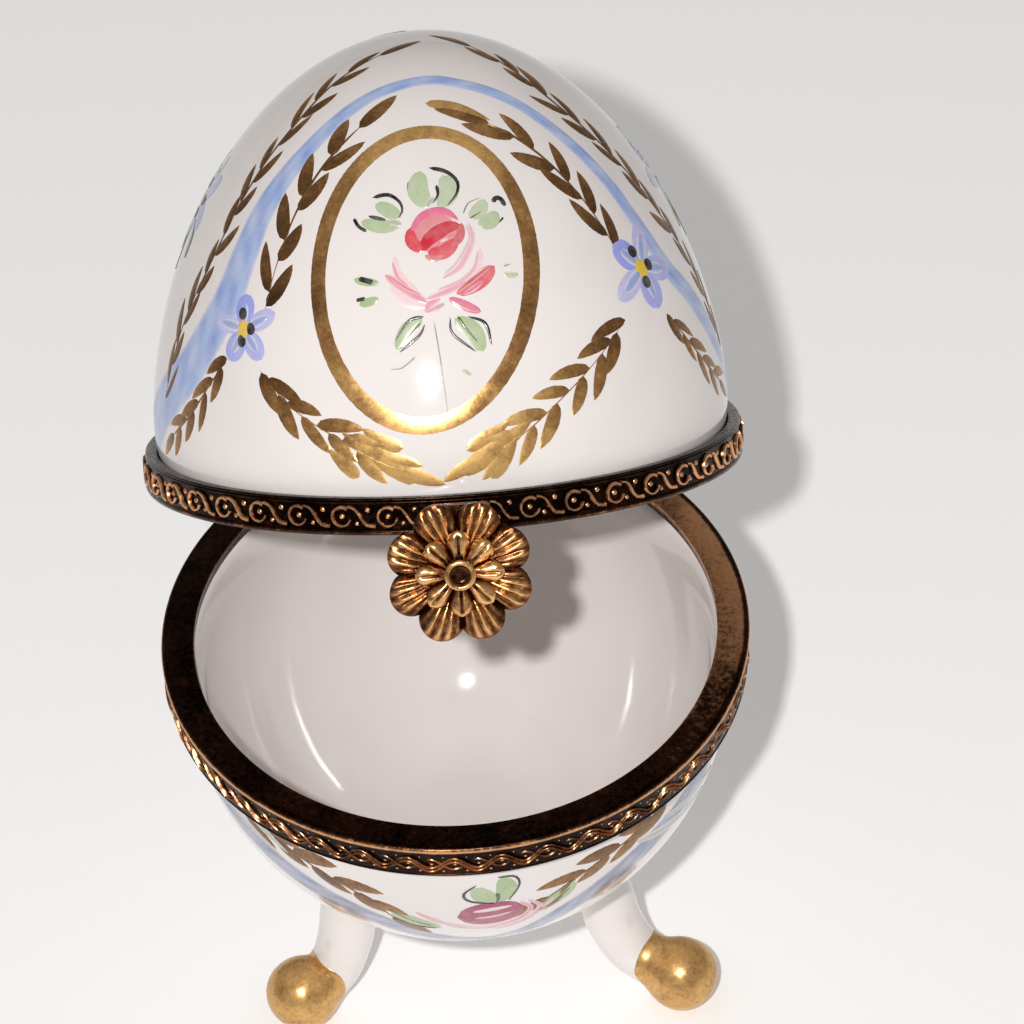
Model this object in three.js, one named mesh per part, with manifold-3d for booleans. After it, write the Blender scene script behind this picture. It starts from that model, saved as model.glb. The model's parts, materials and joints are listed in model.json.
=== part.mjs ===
// Hinged porcelain egg box on three ball-toed legs, with gilt-metal mounts and a rosette clasp.
// Millimetres, +Z up. The hinge is at the back (+Y) and the clasp at the front (-Y).
// The lid stands raised, part way through its swing.
import * as THREE from 'three';
import { mergeVertices } from 'three/addons/utils/BufferGeometryUtils.js';
import Module from 'manifold-3d';

const wasm = await Module();
wasm.setup();

// ---- Driving dimensions ----
// Heights are measured from the parting plane, the top face of the lower mount.
const SEGMENTS = 48;               // facets round the egg
const OUTER_ROWS = 12;             // rows of facets from a band to its pole, outside
const INNER_ROWS = 8;              // and inside
const FIT_GAP = 0.15;              // clearance between pieces that are set in one another
const PARTING_GAP = 0.15;          // between the two mounts when the box is shut

const MOUNT_RADIUS = 21.45;        // widest part of each metal band
const MOUNT_HEIGHT = 2.62;
const BASE_SKIRT = 0.35;           // the lower band reaches this much further over the porcelain
const MOUNT_BORE = 19.05;          // inner edge of the flat lip
const MOUNT_LIP_EDGE = 21.0;       // outer edge of the flat lip, before it rounds over
const MOUNT_FIELD = 21.15;         // the sunk field between the two rails
const MOUNT_SEAT = 20.45;          // inside of the band, round the porcelain
const LIP_THICKNESS = 0.8;

const RIM_RADIUS = 20.25;          // ground step of the porcelain inside each band
const LID_RADIUS = 20.7;
const LID_RISE = 28.75;            // crown of the lid above its band
const LID_TAPER = 0.037;           // draws the crown in, for the egg's pointed end
const LID_TUCK = 0.35;             // the egg draws in by this much where it meets its band
const LID_TUCK_HEIGHT = 5;
const LID_WALL = 1.8;
const BOWL_RADIUS = 20.2;
const BOWL_DROP = 22.06;           // underside of the bowl below its band
const BOWL_WALL = 1.7;
const BOWL_FLOOR = 21.8;           // depth of the small flat floor inside

const FLOOR_DEPTH = 33.0;          // what the box stands on
const BALL_DEPTH = 30.5;
const BALL_RADIUS = 2.7;
const LEG_ROOT = 10.2;             // distance of each leg's root from the axis
const LEG_ROOT_DEPTH = 20.4;
const LEG_RADIUS = 2.3;
const ANKLE_RADIUS = 1.9;
const LEG_BLEND = 6;               // how crisply a leg's shaft runs into its ball toe
const LEG_KNEES = [[0.13, 24.0], [0.26, 27.2], [0.5, 29.6]];  // share of the way out to the toe, and depth
const LEG_FACETS = 12;
const SHAFT_ROWS = 7;
const TOE_ROWS = 6;
const TOE_START = 2.0;             // the toe's rows start this far above the ball's centre
const LEGS = [
  { azimuth: -58.7, reach: 15.55 },
  { azimuth: 61.3, reach: 17.5 },
  { azimuth: 180, reach: 16.5 },
];

const HINGE_SETBACK = 23.6;        // hinge axis behind the egg's axis
const LID_ANGLE = 32.7;            // how far the lid stands open
const KNUCKLE_RADIUS = 1.15;
const PIN_RADIUS = 0.5;
const HINGE_LENGTH = 9.2;
const LID_KNUCKLE = 2.9;
const LEAF_RADIUS = 21.6;
const LEAF_THICKNESS = 0.5;
const LEAF_HALF_ANGLE = 12;
const LEAF_NEAR = 0.4;             // edges of a leaf, measured from the parting plane
const LEAF_FAR = 2.4;

const CLASP_AZIMUTH = 2.1;         // the clasp sits a little to the right of centre
const CLASP_TILT = 4;              // the rosette's foot tucks in under the band
const CLASP_DROP = 2.35;           // rosette centre below the parting plane
const TONGUE_BACK = 21.6;
const TONGUE_WIDTH = 3.4;
const TONGUE_TOP = 2.3;
const TONGUE_FOOT = 4.3;
const TONGUE_THICKNESS = 0.6;
const PETALS = 8;
const PETAL_CENTRE = 3.5;
const PETAL_RADIUS = 1.6;
const PETAL_STEPS = 7;
const ROSETTE_THICKNESS = 0.5;
const STAR_TIP = 2.95;
const STAR_THICKNESS = 0.45;
const STAR_HALF_PETAL = [[1, 0], [0.78, 0.2], [0.55, 0.39]];  // share of the tip's radius, and angle off it
const RIVET_RADIUS = 1.05;
const PIN_HEAD_RADIUS = 0.85;
const PIN_HEAD_LENGTH = 0.4;
const KNUCKLE_FACETS = 20;
const SMALL_FACETS = 16;
const SHANK_RADIUS = 0.4;

const radians = THREE.MathUtils.degToRad;

// ---- Materials ----
const porcelain = new THREE.MeshStandardMaterial({ color: 0xe6dedb, roughness: 0.18, metalness: 0 });
const antiqueBrass = new THREE.MeshStandardMaterial({ color: 0x6b4a25, roughness: 0.35, metalness: 1 });
const giltBrass = new THREE.MeshStandardMaterial({ color: 0xa8783c, roughness: 0.32, metalness: 1 });

// ---- Solids ----
function toSolid(geometry) {
  const bare = geometry.clone();
  bare.deleteAttribute('normal');
  bare.deleteAttribute('uv');
  const welded = mergeVertices(bare);
  const corners = welded.index.array;
  const kept = [];
  for (let i = 0; i < corners.length; i += 3) {
    const [a, b, c] = corners.subarray(i, i + 3);
    if (a !== b && b !== c && c !== a) kept.push(a, b, c);
  }
  const vertProperties = new Float32Array(welded.attributes.position.array);
  const triVerts = new Uint32Array(kept);
  return new wasm.Manifold(new wasm.Mesh({ numProp: 3, vertProperties, triVerts }));
}

function toMesh(name, solid, material) {
  const { vertProperties, triVerts } = solid.getMesh();
  const geometry = new THREE.BufferGeometry();
  geometry.setAttribute('position', new THREE.BufferAttribute(vertProperties, 3));
  geometry.setIndex(new THREE.BufferAttribute(triVerts, 1));
  geometry.computeVertexNormals();
  const mesh = new THREE.Mesh(geometry, material);
  mesh.name = name;
  return mesh;
}

// Turns a profile of [radius, height] points about the Z axis.
function turned(profile, segments = SEGMENTS) {
  const points = profile.map(([r, z]) => new THREE.Vector2(r, z));
  const geometry = new THREE.LatheGeometry(points, segments);
  geometry.rotateX(Math.PI / 2);
  return geometry;
}

// Turns a closed ring section about the Z axis.
function turnedRing(section, segments = SEGMENTS) {
  return turned([...section, section[0]], segments);
}

// A cylinder lying along the X axis.
function rodAlongX(radius, length, segments) {
  const geometry = new THREE.CylinderGeometry(radius, radius, length, segments);
  geometry.rotateZ(Math.PI / 2);
  return geometry;
}

// A box given by its low and high corners.
function block(low, high) {
  const size = high.map((value, i) => value - low[i]);
  const geometry = new THREE.BoxGeometry(...size);
  geometry.translate(...low.map((value, i) => value + size[i] / 2));
  return geometry;
}

// A flat outline given thickness along Z from z = 0.
function plate(shape, depth, curveSegments = 4) {
  return new THREE.ExtrudeGeometry(shape, { depth, bevelEnabled: false, curveSegments });
}

// ---- Bowl with its three legs ----
// Quarter of an ellipse below the band, from the widest point down to the given depth.
function bowlCurve(radius, drop, depth, steps) {
  const last = Math.asin(depth / drop);
  const points = [];
  for (let i = 0; i <= steps; i += 1) {
    const turn = (last * i) / steps;
    points.push([radius * Math.cos(turn), -MOUNT_HEIGHT - drop * Math.sin(turn)]);
  }
  return points;
}

function bowlOutside() {
  const rimTop = -LIP_THICKNESS - FIT_GAP;
  const curve = bowlCurve(BOWL_RADIUS, BOWL_DROP, BOWL_DROP, OUTER_ROWS).reverse();
  curve[0][0] = 0;
  return turned([...curve, [RIM_RADIUS, rimTop], [0, rimTop]]);
}

function bowlInside() {
  const radius = BOWL_RADIUS - BOWL_WALL;
  const curve = bowlCurve(radius, BOWL_DROP - BOWL_WALL, BOWL_FLOOR - MOUNT_HEIGHT, INNER_ROWS).reverse();
  return turned([[0, -BOWL_FLOOR], ...curve, [MOUNT_BORE, -LIP_THICKNESS], [MOUNT_BORE, 1], [0, 1]]);
}

// Half-thickness of a leg at a distance s along it; the ball toe's centre is at s = ball.
function legRadius(s, ball) {
  const past = THREE.MathUtils.clamp((s - ball) / BALL_RADIUS, -1, 1);
  const round = Math.sqrt(1 - past * past);
  const straight = THREE.MathUtils.lerp(LEG_RADIUS, ANKLE_RADIUS, Math.min(s / ball, 1));
  const shaft = straight * (past > 0 ? round : 1);
  return (shaft ** LEG_BLEND + (BALL_RADIUS * round) ** LEG_BLEND) ** (1 / LEG_BLEND);
}

// Outline of a leg before it is bent: radius at each distance along it.
function straightLeg(ball) {
  const length = ball + BALL_RADIUS;
  const toe = ball - TOE_START;
  const profile = [[0, 0]];
  for (let i = 0; i < SHAFT_ROWS; i += 1) {
    const s = (toe * i) / SHAFT_ROWS;
    profile.push([legRadius(s, ball), s]);
  }
  for (let i = 0; i < TOE_ROWS; i += 1) {
    const s = toe + (length - toe) * Math.sin((i / TOE_ROWS) * (Math.PI / 2));
    profile.push([legRadius(s, ball), s]);
  }
  profile.push([0, length]);
  return profile;
}

// A leg is turned straight and then bent along its path, which runs down and out to the toe.
function leg({ azimuth, reach }) {
  const out = reach - LEG_ROOT;
  const path = new THREE.CatmullRomCurve3([
    new THREE.Vector3(LEG_ROOT, 0, -LEG_ROOT_DEPTH),
    ...LEG_KNEES.map(([share, depth]) => new THREE.Vector3(LEG_ROOT + out * share, 0, -depth)),
    new THREE.Vector3(reach, 0, -BALL_DEPTH),
  ]);
  const ball = path.getLength();
  const geometry = turned(straightLeg(ball), LEG_FACETS);
  const position = geometry.attributes.position;
  for (let i = 0; i < position.count; i += 1) {
    const s = position.getZ(i);
    const u = THREE.MathUtils.clamp(s / ball, 0, 1);
    const centre = path.getPointAt(u);
    const along = path.getTangentAt(u);
    centre.addScaledVector(along, Math.max(s - ball, 0));
    const across = position.getX(i);
    position.setXYZ(i, centre.x + along.z * across, position.getY(i), centre.z - along.x * across);
  }
  geometry.rotateZ(radians(azimuth - 90));
  return geometry;
}

function footedBowl() {
  let solid = toSolid(bowlOutside());
  for (const each of LEGS) solid = solid.add(toSolid(leg(each)));
  const [side, below] = [2 * LEG_ROOT + BOWL_RADIUS, 2 * BALL_RADIUS];
  const ground = block([-side, -side, -FLOOR_DEPTH - below], [side, side, -FLOOR_DEPTH]);
  return solid.subtract(toSolid(bowlInside())).subtract(toSolid(ground));
}

// ---- Lid ----
// Heights of the lid's pieces are measured from the lower face of its own band.
function eggCurve(radius, rise, steps) {
  const points = [];
  for (let i = 0; i <= steps; i += 1) {
    const t = Math.sin((i / steps) * (Math.PI / 2));
    const tuck = LID_TUCK * Math.max(0, 1 - (rise * t) / LID_TUCK_HEIGHT) ** 2;
    const height = MOUNT_HEIGHT + rise * t;
    points.push([radius * Math.sqrt(1 - t * t) * (1 - LID_TAPER * t) - tuck, height]);
  }
  return points;
}

function lidShell() {
  const rimFoot = LIP_THICKNESS + FIT_GAP;
  const outside = eggCurve(LID_RADIUS, LID_RISE, OUTER_ROWS);
  const inside = eggCurve(LID_RADIUS - LID_WALL, LID_RISE - LID_WALL, INNER_ROWS);
  const skin = toSolid(turned([[0, rimFoot], [RIM_RADIUS, rimFoot], [RIM_RADIUS, MOUNT_HEIGHT], ...outside]));
  const hollow = toSolid(turned([[0, 0], [MOUNT_BORE, 0], [MOUNT_BORE, rimFoot], ...inside]));
  return skin.subtract(hollow);
}

// ---- Metal mounts ----
// Section of a mount below the parting plane: flat lip, rounded edge, two rails and a sunk field.
const mountSection = (height) => [
  [MOUNT_BORE, 0],
  [MOUNT_BORE, -LIP_THICKNESS],
  [MOUNT_SEAT, -LIP_THICKNESS],
  [MOUNT_SEAT, -height],
  [MOUNT_FIELD, -height],
  [MOUNT_RADIUS - 0.1, -height + 0.12],
  [MOUNT_RADIUS - 0.1, -height + 0.38],
  [MOUNT_FIELD, -height + 0.5],
  [MOUNT_FIELD, -0.75],
  [MOUNT_RADIUS, -0.55],
  [MOUNT_RADIUS, -0.25],
  [MOUNT_LIP_EDGE + 0.25, -0.06],
  [MOUNT_LIP_EDGE, 0],
];

function baseMount() {
  return toSolid(turnedRing(mountSection(MOUNT_HEIGHT + BASE_SKIRT)));
}

function lidMount() {
  return toSolid(turnedRing(mountSection(MOUNT_HEIGHT).map(([r, z]) => [r, -z]).reverse()));
}

// ---- Hinge ----
// A leaf is a curved plate on the back of a band. `side` is -1 for the base and +1 for the lid.
function leafPlate(side) {
  const shape = new THREE.Shape();
  const start = radians(90 - LEAF_HALF_ANGLE);
  const end = radians(90 + LEAF_HALF_ANGLE);
  shape.absarc(0, 0, LEAF_RADIUS + LEAF_THICKNESS, start, end, false);
  shape.absarc(0, 0, LEAF_RADIUS, end, start, true);
  const geometry = plate(shape, LEAF_FAR - LEAF_NEAR);
  geometry.translate(0, 0, side < 0 ? -LEAF_FAR : LEAF_NEAR);
  return geometry;
}

// A knuckle with the web that joins it to its leaf, between two stations along the axis.
function knuckle(from, to, side) {
  const bore = PIN_RADIUS + FIT_GAP;
  const barrel = rodAlongX(KNUCKLE_RADIUS, to - from, KNUCKLE_FACETS);
  barrel.translate((from + to) / 2, HINGE_SETBACK, 0);
  const near = side * (bore + 0.05);
  const far = side * KNUCKLE_RADIUS;
  const web = block(
    [from, LEAF_RADIUS, Math.min(near, far)],
    [to, HINGE_SETBACK, Math.max(near, far)],
  );
  const hole = rodAlongX(bore, to - from + 1, SMALL_FACETS);
  hole.translate((from + to) / 2, HINGE_SETBACK, 0);
  return toSolid(barrel).add(toSolid(web)).subtract(toSolid(hole));
}

function baseLeaf() {
  const inner = LID_KNUCKLE / 2 + FIT_GAP;
  const outer = HINGE_LENGTH / 2;
  return toSolid(leafPlate(-1)).add(knuckle(-outer, -inner, -1)).add(knuckle(inner, outer, -1));
}

// Modelled shut, in the lid's frame, where the parting plane of the base lies at -PARTING_GAP.
function lidLeaf() {
  const shut = toSolid(leafPlate(1)).add(knuckle(-LID_KNUCKLE / 2, LID_KNUCKLE / 2, 1));
  return shut.translate([0, 0, -PARTING_GAP]);
}

function hingePin() {
  const end = HINGE_LENGTH / 2 + FIT_GAP;
  const head = [
    [PIN_RADIUS, end],
    [PIN_HEAD_RADIUS, end],
    [PIN_HEAD_RADIUS, end + PIN_HEAD_LENGTH / 2],
    [PIN_HEAD_RADIUS * 0.7, end + PIN_HEAD_LENGTH],
    [0, end + PIN_HEAD_LENGTH],
  ];
  const mirrored = head.map(([r, z]) => [r, -z]).reverse();
  const geometry = turned([...mirrored, ...head], SMALL_FACETS);
  geometry.rotateY(Math.PI / 2);
  geometry.translate(0, HINGE_SETBACK, 0);
  return toSolid(geometry);
}

// ---- Clasp ----
// The clasp's pieces are modelled facing +Z and then set upright on the front of the lid's band.
function petalOutline() {
  const shape = new THREE.Shape();
  const half = Math.PI / PETALS;
  const overlap = Math.sqrt(PETAL_RADIUS ** 2 - (PETAL_CENTRE * Math.sin(half)) ** 2);
  const notch = PETAL_CENTRE * Math.cos(half) + overlap;
  const sweep = Math.atan2(notch * Math.sin(half), notch * Math.cos(half) - PETAL_CENTRE);
  for (let i = 0; i < PETALS; i += 1) {
    const turn = half + i * 2 * half;
    const x = PETAL_CENTRE * Math.cos(turn);
    const y = PETAL_CENTRE * Math.sin(turn);
    shape.absarc(x, y, PETAL_RADIUS, turn - sweep, turn + sweep, false);
  }
  return shape;
}

function starOutline() {
  const shape = new THREE.Shape();
  for (let i = 0; i < PETALS; i += 1) {
    const turn = (i * 2 * Math.PI) / PETALS;
    for (const [share, offset] of STAR_HALF_PETAL) {
      const angle = turn + offset;
      const draw = i === 0 && offset === 0 ? 'moveTo' : 'lineTo';
      shape[draw](STAR_TIP * share * Math.cos(angle), STAR_TIP * share * Math.sin(angle));
    }
    const [share, offset] = STAR_HALF_PETAL[1];
    const next = turn + (2 * Math.PI) / PETALS - offset;
    shape.lineTo(STAR_TIP * share * Math.cos(next), STAR_TIP * share * Math.sin(next));
  }
  return shape;
}

function rosette() {
  const flower = toSolid(plate(petalOutline(), ROSETTE_THICKNESS, PETAL_STEPS));
  const star = plate(starOutline(), STAR_THICKNESS + 0.1);
  star.translate(0, 0, ROSETTE_THICKNESS - 0.1);
  const hole = turned([[0, -1], [SHANK_RADIUS + FIT_GAP, -1], [SHANK_RADIUS + FIT_GAP, 2], [0, 2]], 12);
  return flower.add(toSolid(star)).subtract(toSolid(hole));
}

function rivet() {
  const seat = ROSETTE_THICKNESS + STAR_THICKNESS + FIT_GAP;
  const profile = [
    [0, -TONGUE_THICKNESS / 2],
    [SHANK_RADIUS, -TONGUE_THICKNESS / 2],
    [SHANK_RADIUS, seat],
    [RIVET_RADIUS, seat],
    [RIVET_RADIUS, seat + 0.25],
    [RIVET_RADIUS * 0.75, seat + 0.42],
    [RIVET_RADIUS * 0.4, seat + 0.3],
    [0, seat + 0.25],
  ];
  return toSolid(turned(profile, SMALL_FACETS));
}

// The tongue hangs from the band; its back is upright and its front leans with the rosette.
function tongue() {
  const lean = Math.tan(radians(CLASP_TILT));
  const front = (z) => -TONGUE_BACK - TONGUE_THICKNESS - (z + CLASP_DROP) * lean;
  const side = new THREE.Shape([
    new THREE.Vector2(-TONGUE_BACK, TONGUE_TOP),
    new THREE.Vector2(front(TONGUE_TOP), TONGUE_TOP),
    new THREE.Vector2(front(-TONGUE_FOOT), -TONGUE_FOOT),
    new THREE.Vector2(-TONGUE_BACK, -TONGUE_FOOT),
  ]);
  const geometry = plate(side, TONGUE_WIDTH);
  geometry.rotateY(Math.PI / 2);
  geometry.rotateX(Math.PI / 2);
  geometry.translate(-TONGUE_WIDTH / 2, 0, 0);
  const hole = new THREE.CylinderGeometry(SHANK_RADIUS + FIT_GAP, SHANK_RADIUS + FIT_GAP, 4, 12);
  hole.rotateX(radians(CLASP_TILT));
  hole.translate(0, -TONGUE_BACK, -CLASP_DROP);
  return toSolid(geometry).subtract(toSolid(hole));
}

// ---- Assembly ----
const base = new THREE.Group();
base.add(toMesh('footed_bowl', footedBowl(), porcelain));
base.add(toMesh('base_mount', baseMount(), antiqueBrass));
base.add(toMesh('hinge_leaf_base', baseLeaf(), antiqueBrass));
base.add(toMesh('hinge_pin', hingePin(), giltBrass));

const clasp = new THREE.Group();
clasp.rotation.z = radians(CLASP_AZIMUTH);
clasp.add(toMesh('clasp_tongue', tongue(), antiqueBrass));
const face = new THREE.Group();
face.position.set(0, -TONGUE_BACK - TONGUE_THICKNESS - FIT_GAP, -CLASP_DROP);
face.rotation.x = radians(90 + CLASP_TILT);
face.add(toMesh('clasp_rosette', rosette(), giltBrass));
face.add(toMesh('clasp_rivet', rivet(), giltBrass));
clasp.add(face);

const lid = new THREE.Group();
lid.position.set(0, -HINGE_SETBACK, PARTING_GAP);
lid.add(toMesh('lid_shell', lidShell(), porcelain));
lid.add(toMesh('lid_mount', lidMount(), antiqueBrass));
lid.add(toMesh('hinge_leaf_lid', lidLeaf(), antiqueBrass));
lid.add(clasp);

const swing = new THREE.Group();
swing.position.y = HINGE_SETBACK;
swing.rotation.x = -radians(LID_ANGLE);
swing.add(lid);

const egg = new THREE.Group();
egg.add(base);
egg.add(swing);

// The origin is under the middle of the whole, on the surface that the toes stand on.
const extent = new THREE.Box3().setFromObject(egg, true);
const middle = extent.getCenter(new THREE.Vector3());
egg.position.set(-middle.x, -middle.y, FLOOR_DEPTH);

const group = new THREE.Group();
group.add(egg);

export default group;
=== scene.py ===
"""Looks of a hand-painted porcelain egg box: gilt-metal bands, a back hinge and a flower clasp.

Sizes are in millimetres and degrees in each half's own frame: +Z up, the egg's axis at the origin, -Y to the
front, z = 0 on the face where the two halves meet. A Half turns them into metres in the row frame.
"""

from __future__ import annotations

import json
import logging
import math
from dataclasses import dataclass, field
from enum import Enum
from typing import Protocol

import bpy
import numpy as np
from mathutils import Matrix

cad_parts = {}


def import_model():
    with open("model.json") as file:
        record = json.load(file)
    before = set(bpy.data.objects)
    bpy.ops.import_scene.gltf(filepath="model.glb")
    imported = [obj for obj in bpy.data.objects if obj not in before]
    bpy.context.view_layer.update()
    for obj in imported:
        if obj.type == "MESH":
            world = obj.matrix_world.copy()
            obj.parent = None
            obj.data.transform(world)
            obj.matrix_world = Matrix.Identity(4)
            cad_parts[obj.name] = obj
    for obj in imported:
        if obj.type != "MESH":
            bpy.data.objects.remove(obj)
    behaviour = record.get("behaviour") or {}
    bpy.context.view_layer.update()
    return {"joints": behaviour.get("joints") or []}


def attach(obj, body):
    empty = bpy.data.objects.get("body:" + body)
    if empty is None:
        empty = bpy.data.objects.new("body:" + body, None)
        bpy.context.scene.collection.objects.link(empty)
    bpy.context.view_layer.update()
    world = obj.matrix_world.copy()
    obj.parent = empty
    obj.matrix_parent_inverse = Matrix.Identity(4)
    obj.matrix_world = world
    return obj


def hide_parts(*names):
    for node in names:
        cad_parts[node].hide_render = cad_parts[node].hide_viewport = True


LOG = logging.getLogger("egg_box")
MM = 0.001
SEED = 7

Array = np.ndarray
Colour = tuple[float, float, float]
Places = list[tuple[float, float]]
Route = tuple[tuple[float, float], ...]

HINGE_SETBACK = 23.6      # hinge axis behind the egg's axis
PARTING_GAP = 0.15        # the lid's band above the base's band when shut
BAND_HEIGHT = 2.62
AROUND = 192              # steps round the egg
UNDERSIDE = -0.03         # paint is bedded this far into the glaze
PAINT_HEIGHT = 0.03       # crown of a stroke above the glaze
LAYER_LIFT = 0.016        # one layer of paint above the next
NEAR_POLE = math.pi / 2 - 0.012    # an egg's outer rings stop here, just short of the pole
INNER_START = 0.03        # an egg's inner rings start this far past the band
PORCELAIN_CREASE = 50     # edges bent by more than this many degrees stay sharp
METAL_CREASE = 32
PETAL_CREASE = 55
PAINT_CREASE = 60


class Slot(Enum):
    """Material slots of the record."""

    PORCELAIN = "porcelain"
    MOUNT = "mount_brass"
    CLASP = "clasp_brass"
    GILDING = "gilding"
    ENAMEL = "enamel_colours"


def linear(red: int, green: int, blue: int) -> Colour:
    """Turns a display colour of 0 to 255 into scene-linear light.

    Args:
        red: red share.
        green: green share.
        blue: blue share.

    Returns:
        The colour as three floats from 0 to 1.
    """
    shares = (red / 255, green / 255, blue / 255)
    return tuple(s / 12.92 if s < 0.04045 else ((s + 0.055) / 1.055) ** 2.4 for s in shares)


class Pigment(Enum):
    """Colours on the painter's palette."""

    GLAZE = linear(230, 223, 220)
    SKY = linear(156, 180, 224)
    BLUE = linear(116, 144, 208)
    VIOLET = linear(136, 146, 226)
    YELLOW = linear(222, 186, 60)
    BLACK = linear(22, 20, 18)
    LEAF = linear(158, 180, 130)
    LEAF_DEEP = linear(104, 126, 86)
    OLIVE = linear(96, 104, 60)
    RED = linear(196, 38, 58)
    CORAL = linear(212, 74, 88)
    PINK = linear(218, 112, 142)
    BLUSH = linear(236, 196, 204)
    PLUM = linear(176, 62, 104)
    MAGENTA = linear(158, 38, 88)
    SMOKE = linear(122, 116, 116)
    SLATE = linear(66, 80, 116)
    STEEL = linear(126, 146, 188)
    BRONZE = linear(128, 104, 76)


class Taper(Enum):
    """How a brush stroke's width runs from its start to its end."""

    LEAF = "leaf"
    LOBE = "lobe"
    PETAL = "petal"
    LINE = "line"
    EVEN = "even"
    FAN = "fan"

    def widths(self, along: Array) -> Array:
        """Gives the share of the full width at each place along the stroke.

        Args:
            along: places from 0 at the start to 1 at the end.

        Returns:
            Shares from near 0 to 1, the same length as along.
        """
        if self is Taper.LEAF:
            shape = 2.26 * along**0.5 * (1 - along) ** 0.7
        elif self is Taper.LOBE:
            shape = 2.19 * along**0.8 * (1 - along) ** 0.42
        elif self is Taper.PETAL:
            shape = np.sqrt(np.clip(1 - (2 * along - 1) ** 2, 0, 1))
        elif self is Taper.LINE:
            shape = (1 - 0.72 * along) * (1 - np.abs(2 * along - 1) ** 9)
        elif self is Taper.FAN:
            shape = (0.25 + 0.75 * along) * (1 - np.abs(2 * along - 1) ** 6)
        else:
            shape = 1 - np.abs(2 * along - 1) ** 24
        return np.clip(shape, 0.04, 1)


def unit(vectors: Array) -> Array:
    """Scales vectors to length one.

    Args:
        vectors: array whose last axis holds the three parts.

    Returns:
        Array of the same shape.
    """
    return vectors / np.maximum(np.linalg.norm(vectors, axis=-1, keepdims=True), 1e-12)


def spline(knots: Array, count: int) -> Array:
    """Runs a smooth curve through the knots and spaces points evenly along it.

    Args:
        knots: (k, d) points that the curve passes through.
        count: points wanted.

    Returns:
        (count, d) points.
    """
    knots = np.asarray(knots, float)
    if len(knots) == 2:
        fine = np.linspace(knots[0], knots[1], count * 2)
    else:
        ends = np.vstack([2 * knots[0] - knots[1], knots, 2 * knots[-1] - knots[-2]])
        t = np.linspace(0, 1, 24, endpoint=False)[:, None]
        spans = []
        for a, b, c, d in zip(ends, ends[1:], ends[2:], ends[3:]):
            spans.append(0.5 * (2 * b + (c - a) * t + (2 * a - 5 * b + 4 * c - d) * t**2
                                + (3 * b - a - 3 * c + d) * t**3))
        fine = np.vstack(spans + [knots[-1:]])
    steps = np.linalg.norm(np.diff(fine, axis=0), axis=1)
    length = np.concatenate([[0], np.cumsum(steps)])
    wanted = np.linspace(0, length[-1], count)
    return np.stack([np.interp(wanted, length, fine[:, k]) for k in range(fine.shape[1])], axis=1)


def arc(centre: tuple[float, float], radius: float, start: float, end: float, steps: int) -> Places:
    """Gives points along a circular arc.

    Args:
        centre: centre of the circle.
        radius: its radius.
        start: first angle, in degrees.
        end: last angle, in degrees.
        steps: number of points.

    Returns:
        The points, first to last.
    """
    angles = np.radians(np.linspace(start, end, steps))
    return [(centre[0] + radius * math.cos(a), centre[1] + radius * math.sin(a)) for a in angles]


def round_axis(profile: Places, steps: int = AROUND) -> Array:
    """Turns a profile about the vertical axis.

    Args:
        profile: (radius, height) points.
        steps: steps round the axis.

    Returns:
        (profile points, steps, 3) rings.
    """
    turn = np.linspace(0, 2 * math.pi, steps, endpoint=False)
    radius, height = np.array(profile, float).T
    x = radius[:, None] * np.sin(turn)
    y = -radius[:, None] * np.cos(turn)
    z = np.repeat(height[:, None], steps, axis=1)
    return np.stack([x, y, z], axis=2)


@dataclass(frozen=True)
class Half:
    """One half of the box and where it stands in the row frame.

    Attributes:
        body: the body that its pieces ride on.
        hinge: (y, z) of the hinge axis in the row frame, in millimetres.
        opening: how far it is swung open, in radians.
        rise: how far its own z = 0 is above the hinge axis before it swings.
    """

    body: str
    hinge: tuple[float, float]
    opening: float
    rise: float

    def place(self, points: Array) -> Array:
        """Moves points from the half's own frame to the row frame.

        Args:
            points: (..., 3) millimetres.

        Returns:
            (..., 3) metres.
        """
        back = points[..., 1] - HINGE_SETBACK
        up = points[..., 2] + self.rise
        cos, sin = math.cos(self.opening), math.sin(self.opening)
        y = self.hinge[0] + back * cos + up * sin
        z = self.hinge[1] - back * sin + up * cos
        return np.stack([points[..., 0], y, z], axis=-1) * MM


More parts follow.
